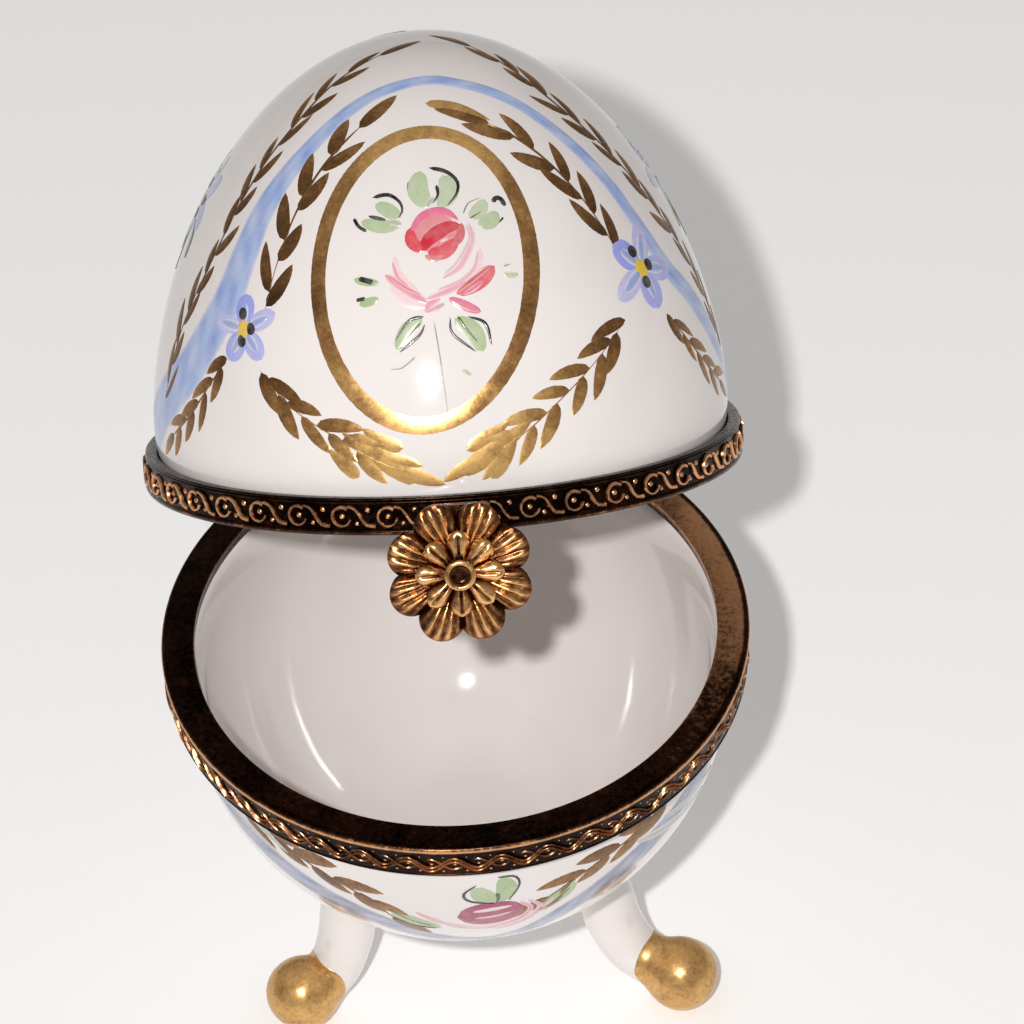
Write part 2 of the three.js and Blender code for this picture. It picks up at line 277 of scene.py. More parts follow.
@dataclass
class Piece:
    """Gathers the skins of one piece before they become one mesh.

    Attributes:
        name: object name.
        points: blocks of points in the half's own frame.
        corners: point numbers of every face, one after another.
        sides: how many corners each face has.
        relief: one value a point, 0 in a recess and 1 on a crown; on the lid's gold and the lower band's lip
            it also holds painted highlights.
        paint: one colour a point.
        count: points so far.
    """

    name: str
    points: list[Array] = field(default_factory=list)
    corners: list[Array] = field(default_factory=list)
    sides: list[Array] = field(default_factory=list)
    relief: list[Array] = field(default_factory=list)
    paint: list[Array] = field(default_factory=list)
    count: int = 0

    def loft(self, rings: Array, relief: Array | float = 0.0, paint: Array | Colour = Pigment.GLAZE.value,
             closed: bool = False) -> None:
        """Skins a row of rings into one closed body.

        Args:
            rings: (n, m, 3) points, ring by ring.
            relief: a value, or (n, m) values.
            paint: a colour, or (n, m, 3) colours.
            closed: joins the last ring to the first instead of capping both ends.
        """
        n, m = rings.shape[:2]
        numbers = np.arange(n * m).reshape(n, m)
        nxt = np.roll(numbers, -1, axis=1)
        low, low_next = (numbers, nxt) if closed else (numbers[:-1], nxt[:-1])
        high = np.roll(numbers, -1, axis=0) if closed else numbers[1:]
        high_next = np.roll(nxt, -1, axis=0) if closed else nxt[1:]
        quads = np.stack([low, low_next, high_next, high], axis=2).reshape(-1, 4)
        flat = rings.reshape(-1, 3)
        a, b, c, d = (flat[quads[:, k]] - flat.mean(axis=0) for k in range(4))
        volume = np.sum(a * np.cross(b, c)) + np.sum(a * np.cross(c, d))
        caps = [] if closed else [numbers[0][::-1], numbers[-1]]
        if volume < 0:
            quads = quads[:, ::-1]
            caps = [cap[::-1] for cap in caps]
        self.corners += [quads.ravel() + self.count] + [cap + self.count for cap in caps]
        self.sides += [np.full(len(quads), 4)] + [np.array([m]) for _ in caps]
        self.points.append(flat)
        self.relief.append(np.broadcast_to(relief, (n, m)).ravel())
        self.paint.append(np.broadcast_to(np.asarray(paint, float), (n, m, 3)).reshape(-1, 3))
        self.count += n * m

    def make(self, half: Half, finish: "Finish", replaces: tuple[str, ...] = (), crease: float = 40) -> None:
        """Turns what was gathered into a mesh object that rides on its half.

        Args:
            half: the half that it belongs to.
            finish: its material.
            replaces: CAD nodes that it stands for.
            crease: edges bent by more than this many degrees stay sharp.
        """
        mesh = bpy.data.meshes.new(self.name)
        corners = np.concatenate(self.corners).astype(np.int32)
        sides = np.concatenate(self.sides)
        starts = np.concatenate([[0], np.cumsum(sides)[:-1]]).astype(np.int32)
        mesh.vertices.add(self.count)
        mesh.vertices.foreach_set("co", half.place(np.vstack(self.points)).astype(np.float32).ravel())
        mesh.loops.add(len(corners))
        mesh.loops.foreach_set("vertex_index", corners)
        mesh.polygons.add(len(sides))
        mesh.polygons.foreach_set("loop_start", starts)
        mesh.update(calc_edges=True)
        mesh.validate()
        relief = mesh.attributes.new("relief", "FLOAT", "POINT")
        relief.data.foreach_set("value", np.concatenate(self.relief).astype(np.float32))
        paint = mesh.color_attributes.new("paint", "FLOAT_COLOR", "POINT")
        colours = np.hstack([np.vstack(self.paint), np.ones((self.count, 1))])
        paint.data.foreach_set("color", colours.astype(np.float32).ravel())
        mesh.shade_smooth()
        mesh.set_sharp_from_angle(angle=math.radians(crease))
        mesh.materials.append(finish.material())
        piece = bpy.data.objects.new(self.name, mesh)
        bpy.context.scene.collection.objects.link(piece)
        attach(piece, half.body)
        if replaces:
            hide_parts(*replaces)
        LOG.info("%s: %d points, %d faces", self.name, self.count, len(sides))


class Ground(Protocol):
    """A surface that strokes and beads are laid on."""

    def project(self, points: Array, lift: Array | float) -> Array:
        """Moves points onto the surface, then out from it by lift."""

    def normals(self, points: Array) -> Array:
        """Gives the outward directions of the surface at points on it."""


@dataclass
class EggSkin:
    """Outer skin of one half of the egg.

    Attributes:
        side: 1 for the lid, which rises from its band, and -1 for the bowl.
        radius: widest radius.
        rise: distance from the band to the pole.
        taper: draws the pole in.
        tuck: draws the foot in where it meets the band.
        tuck_height: how far up the tuck reaches.
    """

    side: int
    radius: float
    rise: float
    taper: float = 0.0
    tuck: float = 0.0
    tuck_height: float = 5.0

    def __post_init__(self) -> None:
        """Tabulates the profile for looking up directions."""
        self.table = np.sin(np.linspace(0, math.pi / 2, 1200))
        radius, height = self.profile(self.table)
        self.elevation = np.arctan2(np.abs(height) - BAND_HEIGHT, radius)
        across = np.gradient(np.abs(height))
        along = -np.gradient(radius)
        size = np.hypot(across, along)
        self.normal_out, self.normal_up = across / size, along / size

    def profile(self, t: Array) -> tuple[Array, Array]:
        """Gives the profile of the half.

        Args:
            t: shares of the rise, from 0 at the band to 1 at the pole.

        Returns:
            Radii and heights.
        """
        foot = self.tuck * np.clip(1 - self.rise * t / self.tuck_height, 0, None) ** 2
        radius = self.radius * np.sqrt(np.clip(1 - t**2, 0, 1)) * (1 - self.taper * t) - foot
        return radius, self.side * (BAND_HEIGHT + self.rise * t)

    def share(self, points: Array) -> Array:
        """Gives the share of the rise on the ray from the band's centre through each point."""
        reach = np.hypot(points[..., 0], points[..., 1])
        angle = np.arctan2(self.side * points[..., 2] - BAND_HEIGHT, reach)
        return np.interp(angle, self.elevation, self.table)

    def project(self, points: Array, lift: Array | float) -> Array:
        """Moves points onto the skin along rays from the band's centre.

        Args:
            points: (..., 3) points.
            lift: distance out from the skin.

        Returns:
            (..., 3) points.
        """
        t = self.share(points)
        radius, height = self.profile(t)
        out = np.interp(t, self.table, self.normal_out)
        up = np.interp(t, self.table, self.normal_up) * self.side
        turn = np.arctan2(points[..., 0], -points[..., 1])
        reach = radius + lift * out
        return np.stack([reach * np.sin(turn), -reach * np.cos(turn), height + lift * up], axis=-1)

    def normals(self, points: Array) -> Array:
        """Gives the outward directions of the skin.

        Args:
            points: (..., 3) points.

        Returns:
            (..., 3) directions.
        """
        return unit(self.project(points, 1.0) - self.project(points, 0.0))

    def at(self, places: Places) -> Array:
        """Finds places on the skin.

        Args:
            places: (azimuth, height) pairs, azimuth from the front to the right.

        Returns:
            (k, 3) points.
        """
        turn = np.radians([place[0] for place in places])
        height = np.array([abs(place[1]) for place in places])
        radius, level = self.profile(np.clip((height - BAND_HEIGHT) / self.rise, 0, 1))
        return np.stack([radius * np.sin(turn), -radius * np.cos(turn), level], axis=1)

    def drape(self, middle: tuple[float, float], places: Places, tilt: float = 0.0) -> Array:
        """Lays a flat motif on the skin, straight in from its tangent plane.

        Args:
            middle: azimuth and height of the motif's middle.
            places: millimetres right and up from the middle.
            tilt: turns the motif clockwise, in degrees.

        Returns:
            (k, 3) points on the skin.
        """
        start = self.at([middle])[0]
        out = self.normals(start)
        right = unit(np.array([-start[1], start[0], 0.0]))
        up = np.cross(out, right)
        cos, sin = math.cos(math.radians(tilt)), math.sin(math.radians(tilt))
        flat = np.asarray(places, float)
        x = flat[:, 0] * cos + flat[:, 1] * sin
        y = flat[:, 1] * cos - flat[:, 0] * sin
        plane = start + x[:, None] * right + y[:, None] * up
        points = plane
        for _ in range(8):
            depth = (self.project(points, 0.0) - plane) @ out
            points = plane + depth[:, None] * out
        return self.project(points, 0.0)


@dataclass(frozen=True)
class BandField:
    """The sunk cylinder round a metal band that its relief stands on.

    Attributes:
        radius: radius of the cylinder.
    """

    radius: float

    def project(self, points: Array, lift: Array | float) -> Array:
        """Moves points out to the cylinder, then by lift."""
        turn = np.arctan2(points[..., 0], -points[..., 1])
        reach = self.radius + lift
        return np.stack([reach * np.sin(turn), -reach * np.cos(turn), points[..., 2]], axis=-1)

    def normals(self, points: Array) -> Array:
        """Gives the outward directions."""
        return unit(points * np.array([1.0, 1.0, 0.0]))

    def at(self, turns: Array, heights: Array) -> Array:
        """Gives points at these angles, in radians, and heights."""
        return np.stack([self.radius * np.sin(turns), -self.radius * np.cos(turns), heights], axis=-1)


@dataclass(frozen=True)
class Section:
    """Cross-section of a stroke or strand.

    Attributes:
        across: places from -1 to 1 over the half width.
        crown: share of the full height at each place.
        depth: extra height at each place, in millimetres.
        edge: 0 at the soft edges and 1 in the middle, for a wash.
    """

    across: tuple[float, ...]
    crown: tuple[float, ...]
    depth: tuple[float, ...]
    edge: tuple[float, ...]


BRUSH = Section(
    across=(-1, -0.6, 0, 0.6, 1, 0.55, -0.55),
    crown=(0, 0.75, 1, 0.75, 0, 0, 0),
    depth=(-0.006, 0, 0, 0, -0.006, UNDERSIDE, UNDERSIDE),
    edge=(1, 1, 1, 1, 1, 1, 1),
)
WASH = Section(
    across=(-1, -0.75, -0.45, -0.15, 0.15, 0.45, 0.75, 1, 0.5, -0.5),
    crown=(0, 0.5, 0.9, 1, 1, 0.9, 0.5, 0, 0, 0),
    depth=(-0.006, 0, 0, 0, 0, 0, 0, -0.006, UNDERSIDE, UNDERSIDE),
    edge=(0, 0.3, 0.85, 1, 1, 0.85, 0.3, 0, 0, 0),
)
STRAND = Section(
    across=(-1, -0.9, -0.45, 0, 0.45, 0.9, 1, 0.6, -0.6),
    crown=(0, 0.8, 1, 0.62, 1, 0.8, 0, 0, 0),
    depth=(-0.05, 0, 0, 0, 0, 0, -0.05, -0.08, -0.08),
    edge=(0, 0.7, 1, 0.45, 1, 0.7, 0, 0, 0),
)
CORD = Section(
    across=(-1, -0.8, -0.35, 0.35, 0.8, 1, 0.6, -0.6),
    crown=(0, 0.65, 1, 1, 0.65, 0, 0, 0),
    depth=(-0.05, 0, 0, 0, 0, -0.05, -0.08, -0.08),
    edge=(0, 0.6, 1, 1, 0.6, 0, 0, 0),
)


def ridge(ground: Ground, route: Array, half_width: Array, height: Array | float, section: Section,
          closed: bool = False) -> Array:
    """Sweeps a section along a route on a surface.

    Args:
        ground: the surface.
        route: (n, 3) points on it.
        half_width: (n,) half widths.
        height: full height of the crown, one value or (n,).
        section: the cross-section.
        closed: the route ends where it starts.

    Returns:
        (n, m, 3) rings.
    """
    if closed:
        along = np.roll(route, -1, axis=0) - np.roll(route, 1, axis=0)
    else:
        along = np.gradient(route, axis=0)
    sideways = unit(np.cross(ground.normals(route), unit(along)))
    spread = np.asarray(half_width)[:, None] * np.array(section.across)
    flat = route[:, None, :] - sideways[:, None, :] * spread[..., None]
    lift = np.broadcast_to(height, len(route))[:, None] * np.array(section.crown) + np.array(section.depth)
    return ground.project(flat, lift)


def bead(ground: Ground, middle: Array, radius: float, height: float, steps: int = 8) -> Array:
    """Makes a small dome standing on a surface.

    Args:
        ground: the surface.
        middle: point on it.
        radius: radius of the dome's foot.
        height: height of the dome.
        steps: steps round it.

    Returns:
        (n, steps, 3) rings from the foot to the crown.
    """
    out = ground.normals(middle)
    right = unit(np.cross(np.array([0.0, 0.0, 1.0]), out))
    up = np.cross(out, right)
    turn = np.linspace(0, 2 * math.pi, steps, endpoint=False)
    wheel = np.cos(turn)[:, None] * right + np.sin(turn)[:, None] * up
    rows = [ground.project(middle + wheel * radius, -0.05)]
    for angle in (0, 30, 58, 82):
        reach = radius * math.cos(math.radians(angle))
        rows.append(ground.project(middle + wheel * reach, height * math.sin(math.radians(angle))))
    return np.array(rows)


# Finishes ------------------------------------------------------------------------------------------------


@dataclass
class Recipe:
    """A material's node tree, with short calls for the nodes that finishes share.

    Attributes:
        name: material name.
    """

    name: str

    def __post_init__(self) -> None:
        """Starts the material with its shader and object coordinates."""
        self.made = bpy.data.materials.new(self.name)
        self.made.use_nodes = True
        self.tree = self.made.node_tree
        self.shader = self.tree.nodes["Principled BSDF"]
        self.object_place = self.tree.nodes.new("ShaderNodeTexCoord").outputs["Object"]

    def set(self, **values: object) -> None:
        """Sets plain values on the shader's own sockets; an underscore stands for a space."""
        for key, value in values.items():
            self.shader.inputs[key.replace("_", " ")].default_value = value

    def noise(self, scale: float, detail: float = 3, roughness: float = 0.55,
              stretch: tuple[float, float, float] = (1, 1, 1)) -> bpy.types.NodeSocket:
        """Makes noise in the object's own frame.

        Args:
            scale: cells to a metre.
            detail: octaves.
            roughness: how strong the fine octaves are.
            stretch: scale of each axis, to draw the grain out.

        Returns:
            The noise value socket.
        """
        mapping = self.tree.nodes.new("ShaderNodeMapping")
        mapping.inputs["Scale"].default_value = stretch
        texture = self.tree.nodes.new("ShaderNodeTexNoise")
        texture.inputs["Scale"].default_value = scale
        texture.inputs["Detail"].default_value = detail
        texture.inputs["Roughness"].default_value = roughness
        self.tree.links.new(self.object_place, mapping.inputs["Vector"])
        self.tree.links.new(mapping.outputs["Vector"], texture.inputs["Vector"])
        return texture.outputs["Fac"]

    def attribute(self, name: str, output: str) -> bpy.types.NodeSocket:
        """Reads a value or colour kept on the mesh's points."""
        node = self.tree.nodes.new("ShaderNodeAttribute")
        node.attribute_name = name
        return node.outputs[output]

    def ramp(self, value: bpy.types.NodeSocket, stops: list[tuple[float, Colour]]) -> bpy.types.NodeSocket:
        """Turns a value into a colour.

        Args:
            value: value socket.
            stops: place and colour of each stop.

        Returns:
            The colour socket.
        """
        node = self.tree.nodes.new("ShaderNodeValToRGB")
        elements = node.color_ramp.elements
        while len(elements) < len(stops):
            elements.new(0.5)
        for element, (place, colour) in zip(elements, stops):
            element.position = place
            element.color = (*colour, 1)
        self.tree.links.new(value, node.inputs["Fac"])
        return node.outputs["Color"]

    def grey(self, value: bpy.types.NodeSocket, low: float, high: float, start: float = 0.3,
             end: float = 0.7) -> bpy.types.NodeSocket:
        """Remaps a value.

        Args:
            value: value socket.
            low: result at start.
            high: result at end.
            start: value that gives low.
            end: value that gives high.

        Returns:
            The new value socket.
        """
        node = self.tree.nodes.new("ShaderNodeMapRange")
        for key, number in (("From Min", start), ("From Max", end), ("To Min", low), ("To Max", high)):
            node.inputs[key].default_value = number
        self.tree.links.new(value, node.inputs["Value"])
        return node.outputs["Result"]

    def math(self, operation: str, first: bpy.types.NodeSocket,
             second: bpy.types.NodeSocket | float) -> bpy.types.NodeSocket:
        """Joins two values by an operation."""
        node = self.tree.nodes.new("ShaderNodeMath")
        node.operation = operation
        node.use_clamp = True
        self.tree.links.new(first, node.inputs[0])
        if isinstance(second, float):
            node.inputs[1].default_value = second
        else:
            self.tree.links.new(second, node.inputs[1])
        return node.outputs[0]

    def mix(self, share: bpy.types.NodeSocket, first: bpy.types.NodeSocket,
            second: bpy.types.NodeSocket | Colour, blend: str = "MIX") -> bpy.types.NodeSocket:
        """Mixes two colours.

        Args:
            share: how much of the second.
            first: first colour.
            second: second colour, as a socket or a plain value.
            blend: how they mix.

        Returns:
            The colour socket.
        """
        node = self.tree.nodes.new("ShaderNodeMix")
        node.data_type = "RGBA"
        node.blend_type = blend
        self.tree.links.new(share, node.inputs["Factor"])
        self.tree.links.new(first, node.inputs["A"])
        if isinstance(second, tuple):
            node.inputs["B"].default_value = (*second, 1)
        else:
            self.tree.links.new(second, node.inputs["B"])
        return node.outputs["Result"]

    def feed(self, socket: str, source: bpy.types.NodeSocket) -> None:
        """Links a source to one of the shader's sockets."""
        self.tree.links.new(source, self.shader.inputs[socket])

    def bump(self, height: bpy.types.NodeSocket, strength: float, distance: float) -> None:
        """Roughens the surface by a height value, distance in metres."""
        node = self.tree.nodes.new("ShaderNodeBump")
        node.inputs["Strength"].default_value = strength
        node.inputs["Distance"].default_value = distance
        self.tree.links.new(height, node.inputs["Height"])
        self.tree.links.new(node.outputs["Normal"], self.shader.inputs["Normal"])


@dataclass
class Finish:
    """A finish, whose material is made once and shared.

    Attributes:
        slot: the record's slot.
        ready: its material, once made.
    """

    slot: Slot
    ready: bpy.types.Material | None = None

    def material(self) -> bpy.types.Material:
        """Gives the material, making it the first time."""
        if self.ready is None:
            recipe = Recipe(type(self).__name__ + "_" + self.slot.value)
            self.mix_up(recipe)
            self.ready = recipe.made
        return self.ready

    def mix_up(self, recipe: Recipe) -> None:
        """Fills in the node tree; each finish has its own."""
        raise NotImplementedError


@dataclass
class Glaze(Finish):
    """Clear gloss glaze over warm white porcelain."""

    slot: Slot = Slot.PORCELAIN

    def mix_up(self, recipe: Recipe) -> None:
        """Warm white, a little cloudy, with the faint ripple of a dipped glaze."""
        cloud = recipe.noise(90, 4)
        white = Pigment.GLAZE.value
        greyer = tuple(0.95 * c for c in white)
        recipe.feed("Base Color", recipe.ramp(cloud, [(0.35, greyer), (0.62, white)]))
        recipe.feed("Roughness", recipe.grey(recipe.noise(420, 3), 0.05, 0.09))
        recipe.bump(recipe.noise(170, 2), 0.12, 0.00012)
        recipe.set(Coat_Weight=0.35, Coat_Roughness=0.03, IOR=1.5)


@dataclass
class Enamel(Finish):
    """Overglaze colours, thin enough to show the brush."""

    slot: Slot = Slot.ENAMEL

    def mix_up(self, recipe: Recipe) -> None:
        """Point colours, thinned by brush streaks and fine grain."""
        colour = recipe.attribute("paint", "Color")
        streak = recipe.grey(recipe.noise(700, 5, 0.7), 0.0, 0.2, 0.42, 0.75)
        thinned = recipe.mix(streak, colour, Pigment.GLAZE.value)
        grain = recipe.grey(recipe.noise(2600, 3, 0.6), 0.0, 0.22, 0.5, 0.8)
        recipe.feed("Base Color", recipe.mix(grain, thinned, colour, "MULTIPLY"))
        recipe.feed("Roughness", recipe.grey(recipe.noise(900, 3), 0.12, 0.3))
        recipe.bump(recipe.noise(1500, 4), 0.12, 0.00004)
        recipe.set(Coat_Weight=0.2, Coat_Roughness=0.08, IOR=1.5)


@dataclass
class Lustre(Finish):
    """Burnished gold painted on porcelain: brown at a low relief value and gold at a high one; on the lid
    the high values are painted highlights.
    """

    slot: Slot = Slot.GILDING

    def mix_up(self, recipe: Recipe) -> None:
        """Gold whose strength follows the relief value, which holds the lid's painted highlights, and a
        brushed grain.
        """
        brushed = recipe.noise(520, 6, 0.75)
        grain = recipe.noise(3800, 3, 0.6)
        # painted highlight: a high relief value turns the gold bright, which on the lid marks where the lamp
        # glints
        gold_and_glint = recipe.math("ADD", recipe.attribute("relief", "Fac"), recipe.grey(brushed, -0.2, 0.2))
        gold_and_glint = recipe.math("ADD", gold_and_glint, recipe.grey(grain, -0.1, 0.1))
        stops = [(0.0, linear(74, 48, 24)), (0.35, linear(118, 82, 46)), (0.65, linear(168, 124, 74)),
                 (1.0, linear(226, 180, 112))]
        recipe.feed("Base Color", recipe.ramp(gold_and_glint, stops))
        recipe.feed("Roughness", recipe.grey(brushed, 0.22, 0.4))
        recipe.bump(grain, 0.25, 0.00003)
        recipe.set(Metallic=0.62)


@dataclass
class Brass(Finish):
    """Antique gilt brass: dark in the recesses and worn bright on the edges.

    Attributes:
        dark: colour of the recesses.
        middle: colour of the flats.
        bright: colour of the worn edges.
        rough: lowest and highest roughness.
    """

    slot: Slot = Slot.MOUNT
    dark: Colour = linear(24, 14, 10)
    middle: Colour = linear(70, 43, 29)
    bright: Colour = linear(222, 164, 118)
    rough: tuple[float, float] = (0.14, 0.42)

    def mix_up(self, recipe: Recipe) -> None:
        """Relief decides the tone, noise breaks it up, and a few spots keep an orange-brown patina."""
        patches = recipe.noise(260, 5, 0.65)
        grain = recipe.noise(2400, 4, 0.65)
        tone = recipe.math("ADD", recipe.attribute("relief", "Fac"), recipe.grey(patches, -0.22, 0.22))
        tone = recipe.math("ADD", tone, recipe.grey(grain, -0.14, 0.14))
        metal = recipe.ramp(tone, [(0.05, self.dark), (0.5, self.middle), (0.95, self.bright)])
        rust = recipe.grey(recipe.noise(640, 4, 0.6), 0.0, 0.45, 0.6, 0.74)
        recipe.feed("Base Color", recipe.mix(rust, metal, linear(120, 60, 34)))
        recipe.feed("Roughness", recipe.grey(grain, *self.rough))
        recipe.bump(grain, 0.6, 0.00005)
        recipe.set(Metallic=1.0)


# Porcelain -----------------------------------------------------------------------------------------------


@dataclass
class Leg:
    """One leg with its ball foot.

    Attributes:
        azimuth: direction from the egg's axis, from the front to the right.
        reach: distance of the ball's centre from the axis.
        root: distance of the leg's root from the axis.
        root_depth: depth of the root below the parting face.
        bends: share of the way out and height of each bend between the root and the ball.
        shaft: radius at the root and at the ball.
        ball_radius: radius of the ball foot.
        ball_depth: depth of the ball's centre.
        floor_depth: depth of the floor, where the ball is worn flat.
        collar: how far the collar spreads over the bowl.
        collar_start: distance along the leg at which the collar spreads.
        collar_drop: distance along the leg over which it thins to the shaft.
    """

    azimuth: float
    reach: float
    root: float = 10.2
    root_depth: float = 20.4
    bends: tuple[tuple[float, float], ...] = ((0.13, -24.0), (0.26, -27.2), (0.5, -29.6))
    shaft: tuple[float, float] = (2.3, 1.9)
    ball_radius: float = 2.7
    ball_depth: float = 30.5
    floor_depth: float = 33.0
    collar: float = 1.1
    collar_start: float = 1.3
    collar_drop: float = 3.4

    def __post_init__(self) -> None:
        """Lays out the centre line."""
        out = self.reach - self.root
        bends = [(self.root + out * share, height) for share, height in self.bends]
        knots = [(self.root, -self.root_depth), *bends, (self.reach, -self.ball_depth)]
        self.line = spline(np.array(knots), 200)
        self.length = float(np.sum(np.linalg.norm(np.diff(self.line, axis=0), axis=1)))

    def radius_at(self, s: Array) -> Array:
        """Gives the leg's radius at each distance along its centre line."""
        past = np.clip((s - self.length) / self.ball_radius, 0, 1)
        cap = np.sqrt(np.clip(1 - past**2, 0, 1))
        thin = self.shaft[0] + (self.shaft[1] - self.shaft[0]) * np.clip(s / self.length, 0, 1)
        ball = self.ball_radius * np.sqrt(np.clip(1 - ((s - self.length) / self.ball_radius) ** 2, 0, 1))
        return ((thin * cap) ** 6 + ball**6) ** (1 / 6)

    def skin(self, s: Array, turn: Array, lift: float = 0.0) -> Array:
        """Gives points on the leg.

        Args:
            s: distance along the centre line, any shape.
            turn: angle round it, 0 on the side away from the egg's axis, the same shape.
            lift: distance out from the surface.

        Returns:
            (..., 3) points.
        """
        share = np.clip(s / self.length, 0, 1) * (len(self.line) - 1)
        numbers = np.arange(len(self.line))
        slopes = unit(np.gradient(self.line, axis=0))
        centre = np.stack([np.interp(share, numbers, self.line[:, k]) for k in range(2)], axis=-1)
        along = unit(np.stack([np.interp(share, numbers, slopes[:, k]) for k in range(2)], axis=-1))
        centre = centre + along * np.clip(s - self.length, 0, None)[..., None]
        radius = self.radius_at(s) + lift
        out = centre[..., 0] - radius * np.cos(turn) * along[..., 1]
        up = np.maximum(centre[..., 1] + radius * np.cos(turn) * along[..., 0], -self.floor_depth)
        across = radius * np.sin(turn)
        angle = math.radians(self.azimuth)
        x = out * math.sin(angle) + across * math.cos(angle)
        y = -out * math.cos(angle) + across * math.sin(angle)
        return np.stack([x, y, up], axis=-1)

    def rings(self, bowl: EggSkin, steps: int = 40) -> Array:
        """Makes the leg down to its ankle, with a soft collar where it leaves the bowl.

        Args:
            bowl: skin that the leg grows from.
            steps: steps round the leg.

        Returns:
            (n, steps, 3) rings.
        """
        turn = np.linspace(0, 2 * math.pi, steps, endpoint=False)
        middle = np.full(steps, self.collar_start)
        nudge = 0.4
        foot = bowl.project(self.skin(middle, turn, self.collar), -0.1)
        inner = bowl.project(self.skin(middle, turn, self.collar - nudge), -0.02)
        top = self.skin(middle + self.collar_drop, turn)
        below = self.skin(middle + self.collar_drop + nudge, turn)
        rows = []
        for q in np.linspace(0, 1, 9)[:-1]:
            h00, h10 = 2 * q**3 - 3 * q**2 + 1, q**3 - 2 * q**2 + q
            h01, h11 = -2 * q**3 + 3 * q**2, q**3 - q**2
            rows.append(h00 * foot + h10 * (inner - foot) * 6 + h01 * top + h11 * (below - top) * 8)
        for s in np.linspace(self.collar_start + self.collar_drop, self.length - 0.5, 22):
            rows.append(self.skin(np.full(steps, s), turn))
        return np.array([bowl.project(foot, -0.6), *rows])

    def toe(self, steps: int = 48) -> Array:
        """Makes the gilded ball, whose gold runs further up the outer side.

        Args:
            steps: steps round the toe.

        Returns:
            (n, steps, 3) rings.
        """
        turn = np.linspace(0, 2 * math.pi, steps, endpoint=False)
        above, slant, ragged = 2.9, 1.3, 0.12
        edge = self.length - above - slant * np.cos(turn) + ragged * np.sin(5 * turn)
        rows = [self.skin(edge, turn, lift) for lift in (-0.15, 0.0)]
        rows.append(self.skin(edge + 0.06, turn, PAINT_HEIGHT))
        last = self.length + self.ball_radius - 0.012
        for q in np.linspace(0, 1, 30)[1:]:
            rows.append(self.skin(edge + (last - edge) * math.sin(q * math.pi / 2), turn, PAINT_HEIGHT))
        return np.array(rows)


def porcelain_rim(side: int, inner_radius: float) -> Places:
    """Outlines the edge of the porcelain, inside its band.

    Args:
        side: 1 for the lid and -1 for the bowl.
        inner_radius: radius of the last point, on the inside.

    Returns:
        (radius, height) points from the outside in.
    """
    edge = [(20.25, BAND_HEIGHT), (20.25, 1.05), (20.15, 0.95), (19.2, 0.83), (19.0, 0.9)]
    return [(radius, side * height) for radius, height in edge + [(inner_radius, 1.5)]]


@dataclass
class Bowl:
    """Footed lower half of the egg.

    Attributes:
        half: where it stands.
        outside: its outer skin.
        inside: its inner skin.
        floor: depth of the small flat floor inside.
        legs: its three legs.
    """

    half: Half
    outside: EggSkin = field(default_factory=lambda: EggSkin(-1, 20.2, 22.06))
    inside: EggSkin = field(default_factory=lambda: EggSkin(-1, 18.5, 20.36))
    floor: float = 21.8
    legs: tuple[Leg, ...] = (Leg(-58.7, 15.55), Leg(61.3, 17.5), Leg(180.0, 16.5))

    def build(self, glaze: Glaze, lustre: Lustre) -> None:
        """Builds the porcelain and the gilded toes.

        Args:
            glaze: finish of the porcelain.
            lustre: finish of the toes.
        """
        outer = list(zip(*self.outside.profile(np.sin(np.linspace(NEAR_POLE, 0, 64)))))
        radius, height = self.inside.profile(np.sin(np.linspace(INNER_START, math.pi / 2, 70)))
        over = height + self.floor
        blend, sink = 0.8, 0.12
        inner = list(zip(radius, -self.floor + (over + np.sqrt(over**2 + blend)) / 2 - sink))
        porcelain = Piece("porcelain_bowl")
        porcelain.loft(round_axis(outer + porcelain_rim(-1, 18.75) + inner))
        for leg in self.legs:
            porcelain.loft(leg.rings(self.outside))
        porcelain.make(self.half, glaze, ("footed_bowl",), PORCELAIN_CREASE)
        toes = Piece("gilded_toes")
        for leg in self.legs:
            toes.loft(leg.toe(), 0.85)
        toes.make(self.half, lustre)


@dataclass
class Lid:
    """Upper half of the egg.

    Attributes:
        half: where it stands.
        outside: its outer skin.
        inside: its inner skin.
    """

    half: Half
    outside: EggSkin = field(default_factory=lambda: EggSkin(1, 20.7, 28.75, 0.037, 0.35))
    inside: EggSkin = field(default_factory=lambda: EggSkin(1, 18.9, 26.95, 0.037, 0.35))

    def build(self, glaze: Glaze) -> None:
        """Builds the porcelain dome.

        Args:
            glaze: finish of the porcelain.
        """
        outer = list(zip(*self.outside.profile(np.sin(np.linspace(NEAR_POLE, 0, 84)))))
        inner = list(zip(*self.inside.profile(np.sin(np.linspace(INNER_START, NEAR_POLE, 70)))))
        dome = Piece("porcelain_lid")
        dome.loft(round_axis(outer + porcelain_rim(1, 18.8) + inner))
        dome.make(self.half, glaze, ("lid_shell",), PORCELAIN_CREASE)


# Metal bands, hinge and clasp ------------------------------------------------------------------------------


